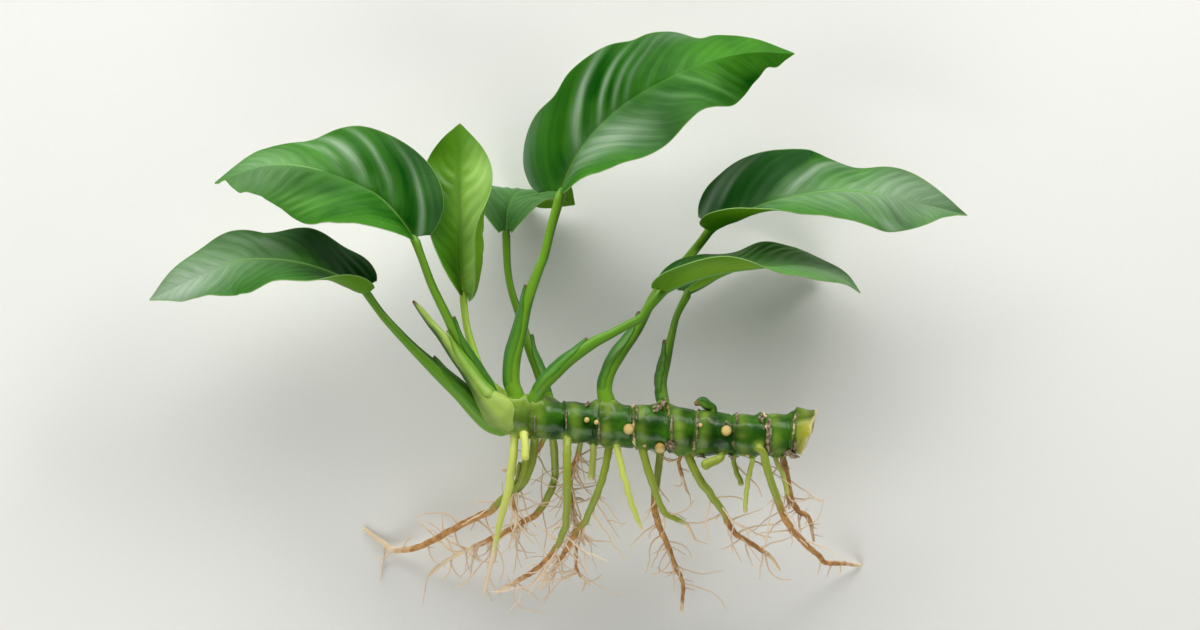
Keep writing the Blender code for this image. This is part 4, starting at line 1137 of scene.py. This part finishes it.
def rhizome_height(x, clock):
    """How far the rhizome's skin stands over a plain round at a place, how corky it is there, and how much
    lime it gets, mostly painted highlight.
    """
    height, corky, lime = 0.0, 0.0, 0.0
    angle = math.radians(clock)
    for number, place in enumerate(RING_PLACES):
        lean = 0.9 * math.sin(angle + 2.1 * number) + 0.6 * noise.noise(Vector((clock / 25, number, 0)))
        lean += 0.45 * noise.noise(Vector((clock / 8, number, 2)))
        away = x - place - lean
        height += 0.45 * bump_at(away, 0.4) + 0.5 * bump_at(away - 3.6, 2.6)
        height -= 0.55 * bump_at(away + 0.9, 0.55)
        patchy = RING_CORK[number] * (0.8 + 0.8 * noise.noise(Vector((clock / 32, number * 3.1, 5))))
        corky = max(corky, patchy * bump_at(away + 0.2, 0.7))
        # Painted highlight: a lime band just after each ring, where the swelling would catch the light.
        limed = 0.6 + 0.8 * noise.noise(Vector((clock / 30, number, 8)))
        lime = max(lime, 0.7 * bump_at(away - 2.6, 2.0) * limed)
    for knob_x, knob_clock, spread, stand, cork in KNOBS:
        turn = (clock - knob_clock + 180) % 360 - 180
        near = bump_at(math.hypot(x - knob_x, math.radians(turn) * USUAL_RADIUS), spread)
        height += stand * near
        corky = max(corky, cork * near)
    for name, (seat_x, seat_clock, radius) in SEATS.items():
        turn = (clock - seat_clock + 180) % 360 - 180
        away = math.hypot(x - seat_x, math.radians(turn) * USUAL_RADIUS)
        if name.startswith("petiole"):
            # The stalks' flares stand up, with a painted lime highlight on them.
            height += 1.5 * bump_at(max(away - radius, 0), 1.9)
            lime = max(lime, 0.6 * bump_at(max(away - radius, 0), 2.4))
        else:
            height += 0.8 * bump_at(max(away - radius * 0.8, 0), 1.0)
            lime = max(lime, 0.6 * bump_at(max(away - radius, 0), 1.0))
            corky = max(corky, 0.6 * bump_at(away - radius * 1.15, 0.35))
    return height, corky, lime


def grow_rhizome(finish):
    """The rhizome: a ringed rind, wider at each leaf scar, with a torn lip round its cut end."""
    rows, sides = 300, 84
    route = even_route(RHIZOME, rows)
    bm = bmesh.new()
    layers = {key: bm.verts.layers.float.new(key) for key in ("scar", "lime_and_highlight", "cut", "rim")}
    end_x = route[0].x
    # The cut face is four rings out from its middle, as shares of the rhizome's width.
    face = (0.0, 0.3, 0.62, 0.86)

    def place(vertex, row, turn):
        index = max(row - len(face), 0)
        station = route[min(index, rows)]
        clock = 360 * turn
        angle = math.radians(clock)
        out = Vector((0, math.sin(angle), math.cos(angle)))
        height, corky, lime = rhizome_height(station.x, clock)
        fade = ease(-23.0, -18.0, station.x)
        point = station.xyz + (station.w + 0.1) * out
        height += 0.35 * noise.noise(point / 8) + 0.14 * noise.noise(point / 2.2)
        near_cut = ease(end_x - 8, end_x, station.x)
        flare = 0.6 + 0.6 * noise.noise(Vector((clock / 50, 3, 3)))
        lip = 0.9 * ease(end_x - 2.4, end_x, station.x) * flare
        radius = station.w + (height * fade + lip)
        on_face = row < len(face)
        width, depth = 1.0, 0.0
        if on_face:
            width = face[row]
            depth = 0.7 * noise.noise(Vector((clock / 40, row, 9))) + 0.66 * (1 - width)
        elif index >= rows:
            width = 0.0
        spot = station.xyz + radius * width * out
        ragged = 0.5 * noise.noise(Vector((clock / 30, 1, 1))) + 0.22 * noise.noise(Vector((clock / 7, 1, 1)))
        lean = 3.2 * out.y if out.y < 0 else out.y + 1.3 * ease(0.5, 1.0, out.y)
        spot.x += near_cut * ((lean - 0.8) * width + ragged)
        spot.x -= depth
        torn = 0.7 if on_face else 1.8 + 1.4 * noise.noise(Vector((clock / 12, 7, 7)))
        vertex[layers["rim"]] = 0.9 * bump_at(row - len(face) + 0.5, torn)
        vertex[layers["scar"]] = 0.2 if on_face else corky
        # Lime at the growing end, and the painted lime highlights.
        vertex[layers["lime_and_highlight"]] = min(1, (1 - ease(-16.0, -4.0, station.x)) * 0.3 + 0.8 * lime)
        yellow = 0.5 + 0.45 * ease(end_x - 5, end_x - 1, station.x)
        yellow *= ease(end_x - 6.2, end_x - 5.2, station.x) * (1 - 0.85 * ease(0.45, 0.75, out.y))
        vertex[layers["cut"]] = 0.9 if on_face else yellow
        return spot

    rolled_sheet(bm, rows + len(face), sides, place)
    bmesh.ops.recalc_face_normals(bm, faces=bm.faces)
    return finished(bm, "rhizome_rind", [finish], ["rhizome"])


def grow_root(name, finish):
    """Grows one main root, a slightly uneven strand, green at first and then corky, and gives its route."""
    guides = list(ROOTS[name])
    seat = SEATS.get(name)
    if seat:
        guides = seated_guides(seat, guides, 1.3)
    length = route_length([Vector(p) for p in guides])
    steps = max(16, min(90, int(length * 1.1)))
    route = even_route(guides, steps)
    brown_from, pale_from = BARK[name]
    seed = sum(ord(letter) for letter in name)
    for index, station in enumerate(route):
        share = index / steps
        sway = [noise.noise(Vector((index / 4, seed, way))) for way in (0, 9)]
        station.xyz = station.xyz + 0.35 * Vector((*sway, 0)) * ease(0.1, 0.3, share) * (
            1 - ease(0.9, 1.0, share)
        )
        station.w *= 1 + 0.1 * noise.noise(Vector((index / 2.5, seed, 4)))
    marks = {
        "browned": lambda share: ease(brown_from - 0.12, brown_from + 0.12, share),
        "paled": lambda share: ease(pale_from - 0.12, pale_from + 0.12, share),
    }
    bm = bmesh.new()
    add_strand(bm, route, 14, lambda share, turn, point: 0.12 * noise.noise(point / 1.4), marks)
    finished(bm, name.replace("root", "root_strand", 1), [finish], [name])
    return route


# Side roots that stand out, by the root that they grow from: where along it, the heading in degrees from +X
# towards +Y, the length, how far it turns in all, in degrees, and the radius.
LONG_ROOTLETS = {
    "root_03": [
        (0.53, 128, 17, 80, 0.41), (0.56, -88, 22, 70, 0.41), (0.4, 195, 9, 30, 0.37),
        (0.34, 205, 11, -20, 0.37), (0.3, 215, 12, -25, 0.37), (0.44, -62, 26, -30, 0.39),
        (0.4, -85, 13, 20, 0.37), (0.7, -95, 8, 30, 0.34), (0.22, -60, 16, -35, 0.41),
        (0.26, -100, 16, 15, 0.39),
    ],
    "root_04": [
        (0.42, -130, 9, -20, 0.37), (0.5, -80, 17, 12, 0.41), (0.62, -100, 25, -10, 0.49),
        (0.66, -110, 24, 25, 0.49), (0.36, 95, 15, 20, 0.37), (0.3, 60, 12, -30, 0.37),
        (0.76, 205, 24, -50, 0.51), (0.84, 150, 16, -40, 0.41), (0.88, -85, 8, 30, 0.37),
    ],
    "root_05": [
        (0.48, -70, 19, 25, 0.41), (0.55, -110, 22, -18, 0.44), (0.6, -50, 12, 40, 0.37),
        (0.42, 200, 10, 35, 0.37), (0.52, 170, 11, -30, 0.34), (0.66, -118, 25, -12, 0.44),
    ],
    "root_06": [
        (0.33, -55, 17, 25, 0.39), (0.38, -62, 22, -25, 0.46), (0.3, -42, 14, -20, 0.37),
        (0.6, -65, 14, 20, 0.39), (0.66, -50, 9, 40, 0.34), (0.5, 185, 9, 30, 0.34),
    ],
    "root_19": [
        (0.3, -60, 17, -30, 0.41), (0.45, -80, 21, 25, 0.44), (0.2, 8, 12, -12, 0.37),
        (0.25, -15, 14, 20, 0.34), (0.36, -130, 16, 40, 0.39), (0.6, -100, 14, -35, 0.37),
    ],
    "root_09": [(0.62, 15, 11, 35, 0.37), (0.95, -60, 6, 40, 0.34), (0.6, -100, 4, 0, 0.32)],
    "root_10": [
        (0.4, 215, 13, 30, 0.41), (0.48, 205, 16, 18, 0.41), (0.3, -130, 7, 30, 0.37),
        (0.52, 8, 11, -60, 0.39), (0.7, 10, 4, -30, 0.34), (0.8, 5, 4, -30, 0.34), (0.2, -60, 7, 10, 0.39),
        (0.86, 0, 4, -20, 0.34), (0.58, 200, 6, 30, 0.34),
    ],
    "root_11": [
        (0.3, -105, 15, 12, 0.41), (0.32, 12, 14, -65, 0.41), (0.36, -35, 16, -15, 0.44),
        (0.45, -30, 19, -50, 0.46), (0.5, 8, 13, 18, 0.41), (0.62, -125, 8, -20, 0.39),
        (0.6, 35, 17, -50, 0.44), (0.66, -110, 9, 25, 0.39), (0.4, -120, 4, 0, 0.34),
    ],
    "root_14": [
        (0.25, -115, 17, -20, 0.41), (0.38, 210, 14, 12, 0.41), (0.46, 195, 13, 20, 0.41),
        (0.72, -100, 6, 0, 0.41), (0.88, -88, 3, 0, 0.41), (0.5, -60, 5, 20, 0.34),
    ],
    "root_16": [
        (0.28, -48, 15, 45, 0.44), (0.45, -20, 11, 25, 0.41), (0.2, 175, 9, 20, 0.39),
        (0.62, -120, 7, 25, 0.39), (0.35, -95, 9, 0, 0.41), (0.8, -10, 3, 0, 0.34),
    ],
    "root_17": [(0.3, 185, 10, -25, 0.41), (0.5, -20, 4, 10, 0.37), (0.9, -70, 5, 20, 0.39)],
    "root_13": [(0.1, 150, 8, 35, 0.39), (0.15, -15, 16, 10, 0.41)],
    "root_12": [(0.4, -25, 15, -40, 0.41)],
    "root_08": [(0.55, -115, 4, 0, 0.32)],
    "root_21": [(0.5, -75, 15, 15, 0.37)],
    "root_18": [(0.5, 170, 7, 10, 0.37)],
}


NEW_GREEN_ROOTS = ("root_01", "root_02", "root_07", "root_08", "root_13", "root_15")
# How thick with random rootlets a root is, beside the usual.
FURRED = {
    "root_03": 0.35, "root_04": 1.3, "root_05": 1.5, "root_06": 1.7, "root_19": 4.6, "root_21": 2.6,
    "root_10": 0.8, "root_11": 0.6, "root_14": 0.3, "root_16": 0.8,
}


def wander(start, heading, length, radius, turn, chance):
    """A side root's route: it leaves along a heading and bends, with small chance kinks, as it grows."""
    steps = max(7, int(length / 1.6))
    stride = length / steps
    route = [Vector((*start, radius))]
    angle = math.radians(heading)
    rise = chance.uniform(-0.35, 0.2)
    here = start.copy()
    for step in range(1, steps + 1):
        share = step / steps
        angle += math.radians(turn) / steps + chance.gauss(0, 0.17)
        rise = 0.85 * rise + chance.gauss(-0.03, 0.1)
        here = here + stride * Vector((math.cos(angle), math.sin(angle), rise)).normalized()
        here.z = max(here.z, LOWEST_ROOTLET)
        route.append(Vector((*here, radius * (1 - 0.55 * share))))
    return route


def grow_rootlets(name, kin, routes, sizes, finish):
    """The fine side roots of several main roots, as one piece."""
    bm = bmesh.new()

    def add(route, share, heading, length, turn, radius):
        station = route[round(share * (len(route) - 1))]
        way = Vector((math.cos(math.radians(heading)), math.sin(math.radians(heading)), 0.0))
        start = station.xyz + 0.4 * station.w * way
        path = wander(start, heading, length, radius, turn, chance)
        pale = chance.uniform(0.25, 0.9)
        fading = {
            "browned": lambda share: 0.65 * (1 - ease(0.0, 0.5, share)),
            "paled": lambda share: pale + 0.3 * ease(0.3, 1.0, share) - 0.25,
        }
        add_strand(bm, path, 6, marks=fading)
        return path

    for parent in kin:
        chance = random.Random(sum(ord(letter) for letter in parent) * 7)
        route = routes[parent]
        for share, heading, length, turn, radius in LONG_ROOTLETS.get(parent, ()):
            path = add(route, share, heading, length, turn, radius)
            if length > LONG_ENOUGH and chance.random() < 0.45:
                fork = [path[len(path) // 2]]
                add(fork, 0, heading + chance.choice((-45, 45)), length * 0.4, turn, radius * 0.75)
        brown_from = BARK[parent][0]
        if brown_from >= 1:
            continue
        length = route_length(route) * (0.95 - brown_from)
        for _ in range(round(length * FURRED.get(parent, 1) * sizes.rootlets / BARK_LENGTH)):
            share = chance.uniform(max(brown_from - 0.05, 0.08), 0.93)
            index = round(share * (len(route) - 1))
            along = (route[min(index + 1, len(route) - 1)].xyz - route[index - 1].xyz).normalized()
            heading = math.degrees(math.atan2(along.y, along.x))
            heading += chance.choice((-1, 1)) * chance.uniform(35, 95)
            if chance.random() < 0.65:
                heading = chance.gauss(-88, 32)
            reach = chance.choice((2, 3.5, 6, 10, 15)) * chance.uniform(0.8, 1.3)
            radius = sizes.rootlet_radius * chance.uniform(0.7, 1.15)
            add(route, share, heading, reach, chance.uniform(-70, 70), radius)
    return finished(bm, name, [finish], ())


def grow_bud(name, finish):
    """A dormant bud: a low dome with a flattened crown, seated on the rhizome."""
    x, clock, radius = BUDS[name]
    centre, out = on_rhizome(x, clock, 0.75 * radius)
    bm = bmesh.new()
    crown = bm.verts.layers.float.new("crown")
    bmesh.ops.create_uvsphere(bm, u_segments=32, v_segments=20, radius=radius)
    turn = out.to_track_quat("Z", "Y").to_matrix().to_4x4()
    for vertex in bm.verts:
        up = vertex.co.z / radius
        vertex[crown] = ease(0.35, 0.95, up)
        vertex.co.z -= 0.25 * radius * ease(0.55, 1.0, up)
        vertex.co *= 1 + 0.05 * noise.noise(vertex.co * 1.3 + Vector((x, 0, 0)))
        vertex.co.z *= 1.1 if up < 0 else 0.9
    bmesh.ops.transform(bm, verts=bm.verts, matrix=Matrix.Translation(centre) @ turn)
    return finished(bm, name + "_skin", [finish], [name])


def grow_shoot(finish):
    """The side shoot: a short bent strand with a brown tip."""
    bm = bmesh.new()
    route = even_route(seated_guides(SHOOT_SEAT, SHOOT_BUD, 1.6), 24)
    marks = {"leafward": lambda share: ease(0.8, 1.0, share), "base": lambda share: 0.0}
    add_strand(bm, route, 20, marks=marks)
    return finished(bm, "shoot_bud_skin", [finish], ["shoot_bud"])


# Little round knobs of new root: X, the angle round the rhizome, and their radius.
NEW_ROOTS = [(10, 9, 0.95), (13.2, 5, 0.85), (66.3, -62, 0.8), (49.6, 18, 0.8), (30.2, -50, 0.7)]


def grow_new_roots(finish):
    """The knobs of new roots that have just broken through the rhizome's skin."""
    bm = bmesh.new()
    crown = bm.verts.layers.float.new("crown")
    for x, clock, radius in NEW_ROOTS:
        centre, out = on_rhizome(x, clock, 0.5 * radius)
        turn = out.to_track_quat("Z", "Y").to_matrix().to_4x4()
        made = bmesh.ops.create_uvsphere(bm, u_segments=20, v_segments=14, radius=radius)["verts"]
        for vertex in made:
            vertex[crown] = ease(0.0, 0.9, vertex.co.z / radius)
            vertex.co *= 1 + 0.12 * noise.noise(vertex.co * 1.1 + Vector((x, 0, 0)))
        bmesh.ops.transform(bm, verts=made, matrix=Matrix.Translation(centre) @ turn)
    return finished(bm, "new_root_knobs", [finish], ())


# Small scraps of dead leaf base on the rhizome: X, the angle round it, how far each runs along the rhizome
# and round it in degrees, and how far it stands off.
HUSKS = [
    (73.6, 12, 1.5, 75, 0.7), (72.9, -22, 1.2, 50, 0.5), (81.0, -72, 5.0, 55, 1.5), (82.5, -38, 0.9, 45, 0.5),
    (39.0, -38, 3.6, 26, 1.8), (39.5, 8, 0.6, 60, 0.3), (27.2, 45, 0.6, 50, 0.3), (48.3, 15, 0.6, 70, 0.3),
    (36.0, 80, 3.2, 46, 2.0), (34.0, 62, 2.2, 34, 1.2), (14.6, 80, 1.4, 34, 0.9), (-8.3, -15, 0.5, 46, 0.3),
    (2.7, 5, 0.5, 50, 0.3), (14.2, -25, 0.6, 60, 0.3), (62.2, 58, 0.7, 50, 0.4), (70.8, 58, 1.6, 40, 0.7),
    (58.6, 27, 0.8, 24, 0.6), (50.0, -78, 2.6, 36, 0.8), (60.2, -84, 1.8, 40, 0.7), (10.0, 64, 1.6, 24, 1.0),
]


def grow_husks(finish):
    """The scraps of dead leaf base: small curled sheets with ragged edges."""
    bm = bmesh.new()
    chance = random.Random(41)
    for x, clock, run, arc, stand in HUSKS:
        made = bmesh.ops.create_grid(bm, x_segments=12, y_segments=30, size=1)["verts"]
        seed = chance.uniform(0, 50)
        for vertex in made:
            along, across = vertex.co.x, vertex.co.y
            ragged = 1 + 0.5 * noise.noise(Vector((across * 4, seed, 0)))
            ragged += 0.35 * noise.noise(Vector((across * 14, seed, 1)))
            at_x = x + run / 2 * along * ragged * (1 - 0.6 * across * across)
            at_clock = clock + arc / 2 * across
            lifted = stand * ease(-1.0, 1.0, along) * (0.6 + 0.8 * noise.noise(Vector((across * 2, seed, 4))))
            lifted += 0.25 * abs(noise.noise(Vector((across * 7, along * 2, seed))))
            skin = on_rhizome(at_x, at_clock, 0.15 + max(lifted, 0))[0]
            height = rhizome_height(at_x, at_clock)[0]
            vertex.co = skin + height * 0.6 * on_rhizome(at_x, at_clock, 0)[1]
    wall = {"thickness": 0.22 * MM, "offset": 0.0}
    return finished(bm, "husks", [finish], (), [("SOLIDIFY", wall)])


def light_panel(name, place, aim, size, power):
    """A soft rectangular light at a place, turned to face its aim."""
    data = bpy.data.lights.new(name, "AREA")
    data.shape = "RECTANGLE"
    data.size, data.size_y = size
    data.energy = power
    lamp = bpy.data.objects.new(name, data)
    lamp.location = place
    lamp.rotation_euler = (Vector(aim) - Vector(place)).to_track_quat("-Z", "Y").to_euler()
    bpy.context.scene.collection.objects.link(lamp)


# ---- Operators ----


class ANUBIAS_OT_leaves(bpy.types.Operator):
    """Grow the eight blades"""

    bl_idname = "anubias.leaves"
    bl_label = "Leaves"

    def execute(self, context):
        hues, sizes = context.scene.anubias_colours, context.scene.anubias_sizes
        # The third colour of each finish is its painted sheen.
        upper = leaf_finish(
            "anubias leaf, waxy upper side", hues.leaf_deep[:], hues.leaf_fresh[:], hues.leaf_painted_sheen[:],
            hues.leaf_vein[:], hues.leaf_margin[:], 0.38, 0.08, 0.00006,
        )
        under = leaf_finish(
            "anubias leaf, matte underside", hues.under_deep[:], hues.under_fresh[:], hues.young_fresh[:],
            hues.under_fresh[:], hues.leaf_margin[:], 0.5, 0.15, 0.00008,
        )
        margin = leaf_finish(
            "anubias leaf, pale margin", hues.leaf_vein[:], hues.leaf_margin[:], hues.leaf_margin[:],
            hues.leaf_margin[:], hues.leaf_margin[:], 0.45, 0.4, 0.00002,
        )
        young_upper = leaf_finish(
            "anubias young leaf, upper side", hues.young_deep[:], hues.young_fresh[:], hues.young_painted_sheen[:],
            hues.young_fresh[:], hues.leaf_margin[:], 0.4, 0.35, 0.00006,
        )
        for name in BLADES:
            skins = [young_upper, under, margin] if name == "young" else [upper, under, margin]
            grow_leaf(name, sizes, skins)
        return {"FINISHED"}


class ANUBIAS_OT_stalks(bpy.types.Operator):
    """Grow the eight leaf stalks with their midribs, and the sheaths along them"""

    bl_idname = "anubias.stalks"
    bl_label = "Stalks"

    def execute(self, context):
        hues, sizes = context.scene.anubias_colours, context.scene.anubias_sizes
        skin = stalk_finish(
            "anubias leaf stalk, smooth", hues.stalk_shade[:], hues.stalk_light[:], hues.leaf_vein[:], 0.1
        )
        membrane = sheath_finish(
            "anubias leaf sheath, papery edge", hues.sheath_green[:], hues.sheath_pale[:], hues.sheath_dry[:]
        )
        dark = stalk_finish(
            "anubias leaf stalk, deep green", hues.crown_shade[:], hues.sheath_pale[:], hues.leaf_vein[:], 0.1
        )
        pale = stalk_finish(
            "anubias young leaf stalk, pale", hues.young_fresh[:], hues.stalk_young[:],
            hues.young_fresh[:], 0.1,
        )
        skins = {"left_low": dark, "right_low": dark, "young": pale}
        for name in PETIOLES:
            grow_stalk(name, sizes, skins.get(name, skin))
        fresh = sheath_finish(
            "anubias crown sheath wing, fresh", hues.sheath_pale[:], hues.crown_light[:], hues.sheath_dry[:]
        )
        for name, row in WINGS.items():
            grow_wing(name, fresh if row[0] == "crown" else membrane)
        return {"FINISHED"}


class ANUBIAS_OT_rhizome(bpy.types.Operator):
    """Grow the rhizome with its crown, husks and buds"""

    bl_idname = "anubias.rhizome"
    bl_label = "Rhizome"

    def execute(self, context):
        hues = context.scene.anubias_colours
        rind = rhizome_finish(
            "anubias rhizome, green rind", hues.rind_deep[:], hues.rind_fresh[:], hues.rind_lime[:],
            hues.husk_dark[:], hues.rind_scar[:], hues.cut_end[:], hues.root_pale[:],
        )
        grow_rhizome(rind)
        # The crown's sheath gets the same painted highlight stripe, between crown_shade and crown_light.
        grow_crown(stalk_finish(
            "anubias crown sheath, fresh", hues.crown_shade[:], hues.crown_light[:], hues.sheath_dry[:], 0.85
        ))
        grow_husks(husk_finish("dead leaf base, dry", hues.husk_dark[:], hues.husk_light[:]))
        bud = bud_finish("anubias dormant bud, smooth", hues.bud_skin[:], hues.bud_eye[:])
        for name in BUDS:
            grow_bud(name, bud)
        grow_new_roots(bud)
        grow_shoot(stalk_finish(
            "anubias side shoot, smooth", hues.stalk_shade[:], hues.stalk_light[:], hues.rind_scar[:], 0.2
        ))
        return {"FINISHED"}


class ANUBIAS_OT_roots(bpy.types.Operator):
    """Grow the main roots and their fine side roots"""

    bl_idname = "anubias.roots"
    bl_label = "Roots"

    def execute(self, context):
        hues, sizes = context.scene.anubias_colours, context.scene.anubias_sizes
        bark = (hues.bark_dark[:], hues.bark_light[:])
        old = root_finish("anubias root, corky", hues.root_green[:], bark, hues.root_pale[:])
        new = root_finish("anubias root, new and smooth", hues.root_lime[:], bark, hues.root_pale[:])
        routes = {}
        for name in ROOTS:
            if name in NEW_GREEN_ROOTS:
                routes[name] = grow_root(name, new)
            else:
                routes[name] = grow_root(name, old)
        fine = root_finish(
            "anubias rootlet, fine", hues.rootlet_skin[:], (hues.bark_light[:], hues.rootlet_skin[:]),
            hues.root_pale[:],
        )
        left = ["root_01", "root_03", "root_04", "root_18", "root_21"]
        middle = ["root_05", "root_06", "root_06_branch", "root_07", "root_08", "root_19"]
        right = [
            "root_09", "root_10", "root_11", "root_12", "root_13", "root_14", "root_15", "root_16", "root_17"
        ]
        grow_rootlets("rootlets_left", left, routes, sizes, fine)
        grow_rootlets("rootlets_middle", middle, routes, sizes, fine)
        grow_rootlets("rootlets_right", right, routes, sizes, fine)
        return {"FINISHED"}


class ANUBIAS_OT_stage(bpy.types.Operator):
    """Lay the pale floor, hang the soft lights and set the camera"""

    bl_idname = "anubias.stage"
    bl_label = "Stage"

    def execute(self, context):
        scene = context.scene
        bm = bmesh.new()
        bmesh.ops.create_grid(bm, x_segments=2, y_segments=2, size=4.0)
        mesh = bpy.data.meshes.new("floor")
        bm.to_mesh(mesh)
        bm.free()
        mesh.materials.append(floor_finish("matte paper sweep", scene.anubias_colours.floor[:]))
        floor = bpy.data.objects.new("floor", mesh)
        scene.collection.objects.link(floor)
        light_panel("high left panel", (-0.35, 1.1, 0.5), LIT_POINT, (1.8, 1.0), 27)
        light_panel("high right panel", (0.7, 0.9, 0.6), LIT_POINT, (0.5, 0.4), 8)
        light_panel("low fill panel", (-0.3, -1.2, 0.9), LIT_POINT, (1.6, 0.9), 15)
        # The studio is pale low down and dark overhead, so that glossy skin keeps its depth of colour.
        world = bpy.data.worlds.new("studio air")
        world.use_nodes = True
        tree = world.node_tree
        way = add_node(tree, "TexCoord").outputs["Generated"]
        height = add_node(tree, "SeparateXYZ", {0: way}).outputs[2]
        walls = set_ramp(
            add_node(tree, "ValToRGB", {0: height}),
            [
                (0.0, linear("C2C4C4")), (0.4, linear("A5A7A8")), (0.75, linear("606466")),
                (1.0, linear("202224")),
            ],
        )
        tree.links.new(walls, tree.nodes["Background"].inputs["Color"])
        tree.nodes["Background"].inputs["Strength"].default_value = STUDIO_STRENGTH
        scene.world = world
        camera = bpy.data.objects.new("camera", bpy.data.cameras.new("camera"))
        camera.data.lens = CAMERA_LENS
        camera.data.sensor_width = 36
        camera.data.clip_end = 20
        camera.location = CAMERA_PLACE
        scene.collection.objects.link(camera)
        scene.camera = camera
        scene.view_settings.view_transform = "Standard"
        return {"FINISHED"}


class ANUBIAS_PT_panel(bpy.types.Panel):
    """Lists the plant's organs, sizes and colours"""

    bl_idname = "ANUBIAS_PT_panel"
    bl_label = "Anubias"
    bl_space_type = "VIEW_3D"
    bl_region_type = "UI"
    bl_category = "Anubias"

    def draw(self, context):
        for operator in OPERATORS:
            self.layout.operator(operator.bl_idname)
        for group in (context.scene.anubias_sizes, context.scene.anubias_colours):
            box = self.layout.box()
            for key in group.__annotations__:
                box.prop(group, key)


OPERATORS = (ANUBIAS_OT_rhizome, ANUBIAS_OT_leaves, ANUBIAS_OT_stalks, ANUBIAS_OT_roots, ANUBIAS_OT_stage)
CLASSES = (AnubiasSizes, AnubiasColours, *OPERATORS, ANUBIAS_PT_panel)


def register():
    for cls in CLASSES:
        bpy.utils.register_class(cls)
    bpy.types.Scene.anubias_sizes = PointerProperty(type=AnubiasSizes)
    bpy.types.Scene.anubias_colours = PointerProperty(type=AnubiasColours)


def unregister():
    del bpy.types.Scene.anubias_colours
    del bpy.types.Scene.anubias_sizes
    for cls in reversed(CLASSES):
        bpy.utils.unregister_class(cls)


def main():
    register()
    bpy.ops.anubias.rhizome()
    bpy.ops.anubias.leaves()
    bpy.ops.anubias.stalks()
    bpy.ops.anubias.roots()
    bpy.ops.anubias.stage()
    bpy.context.view_layer.update()


if __name__ == "__main__":
    main()
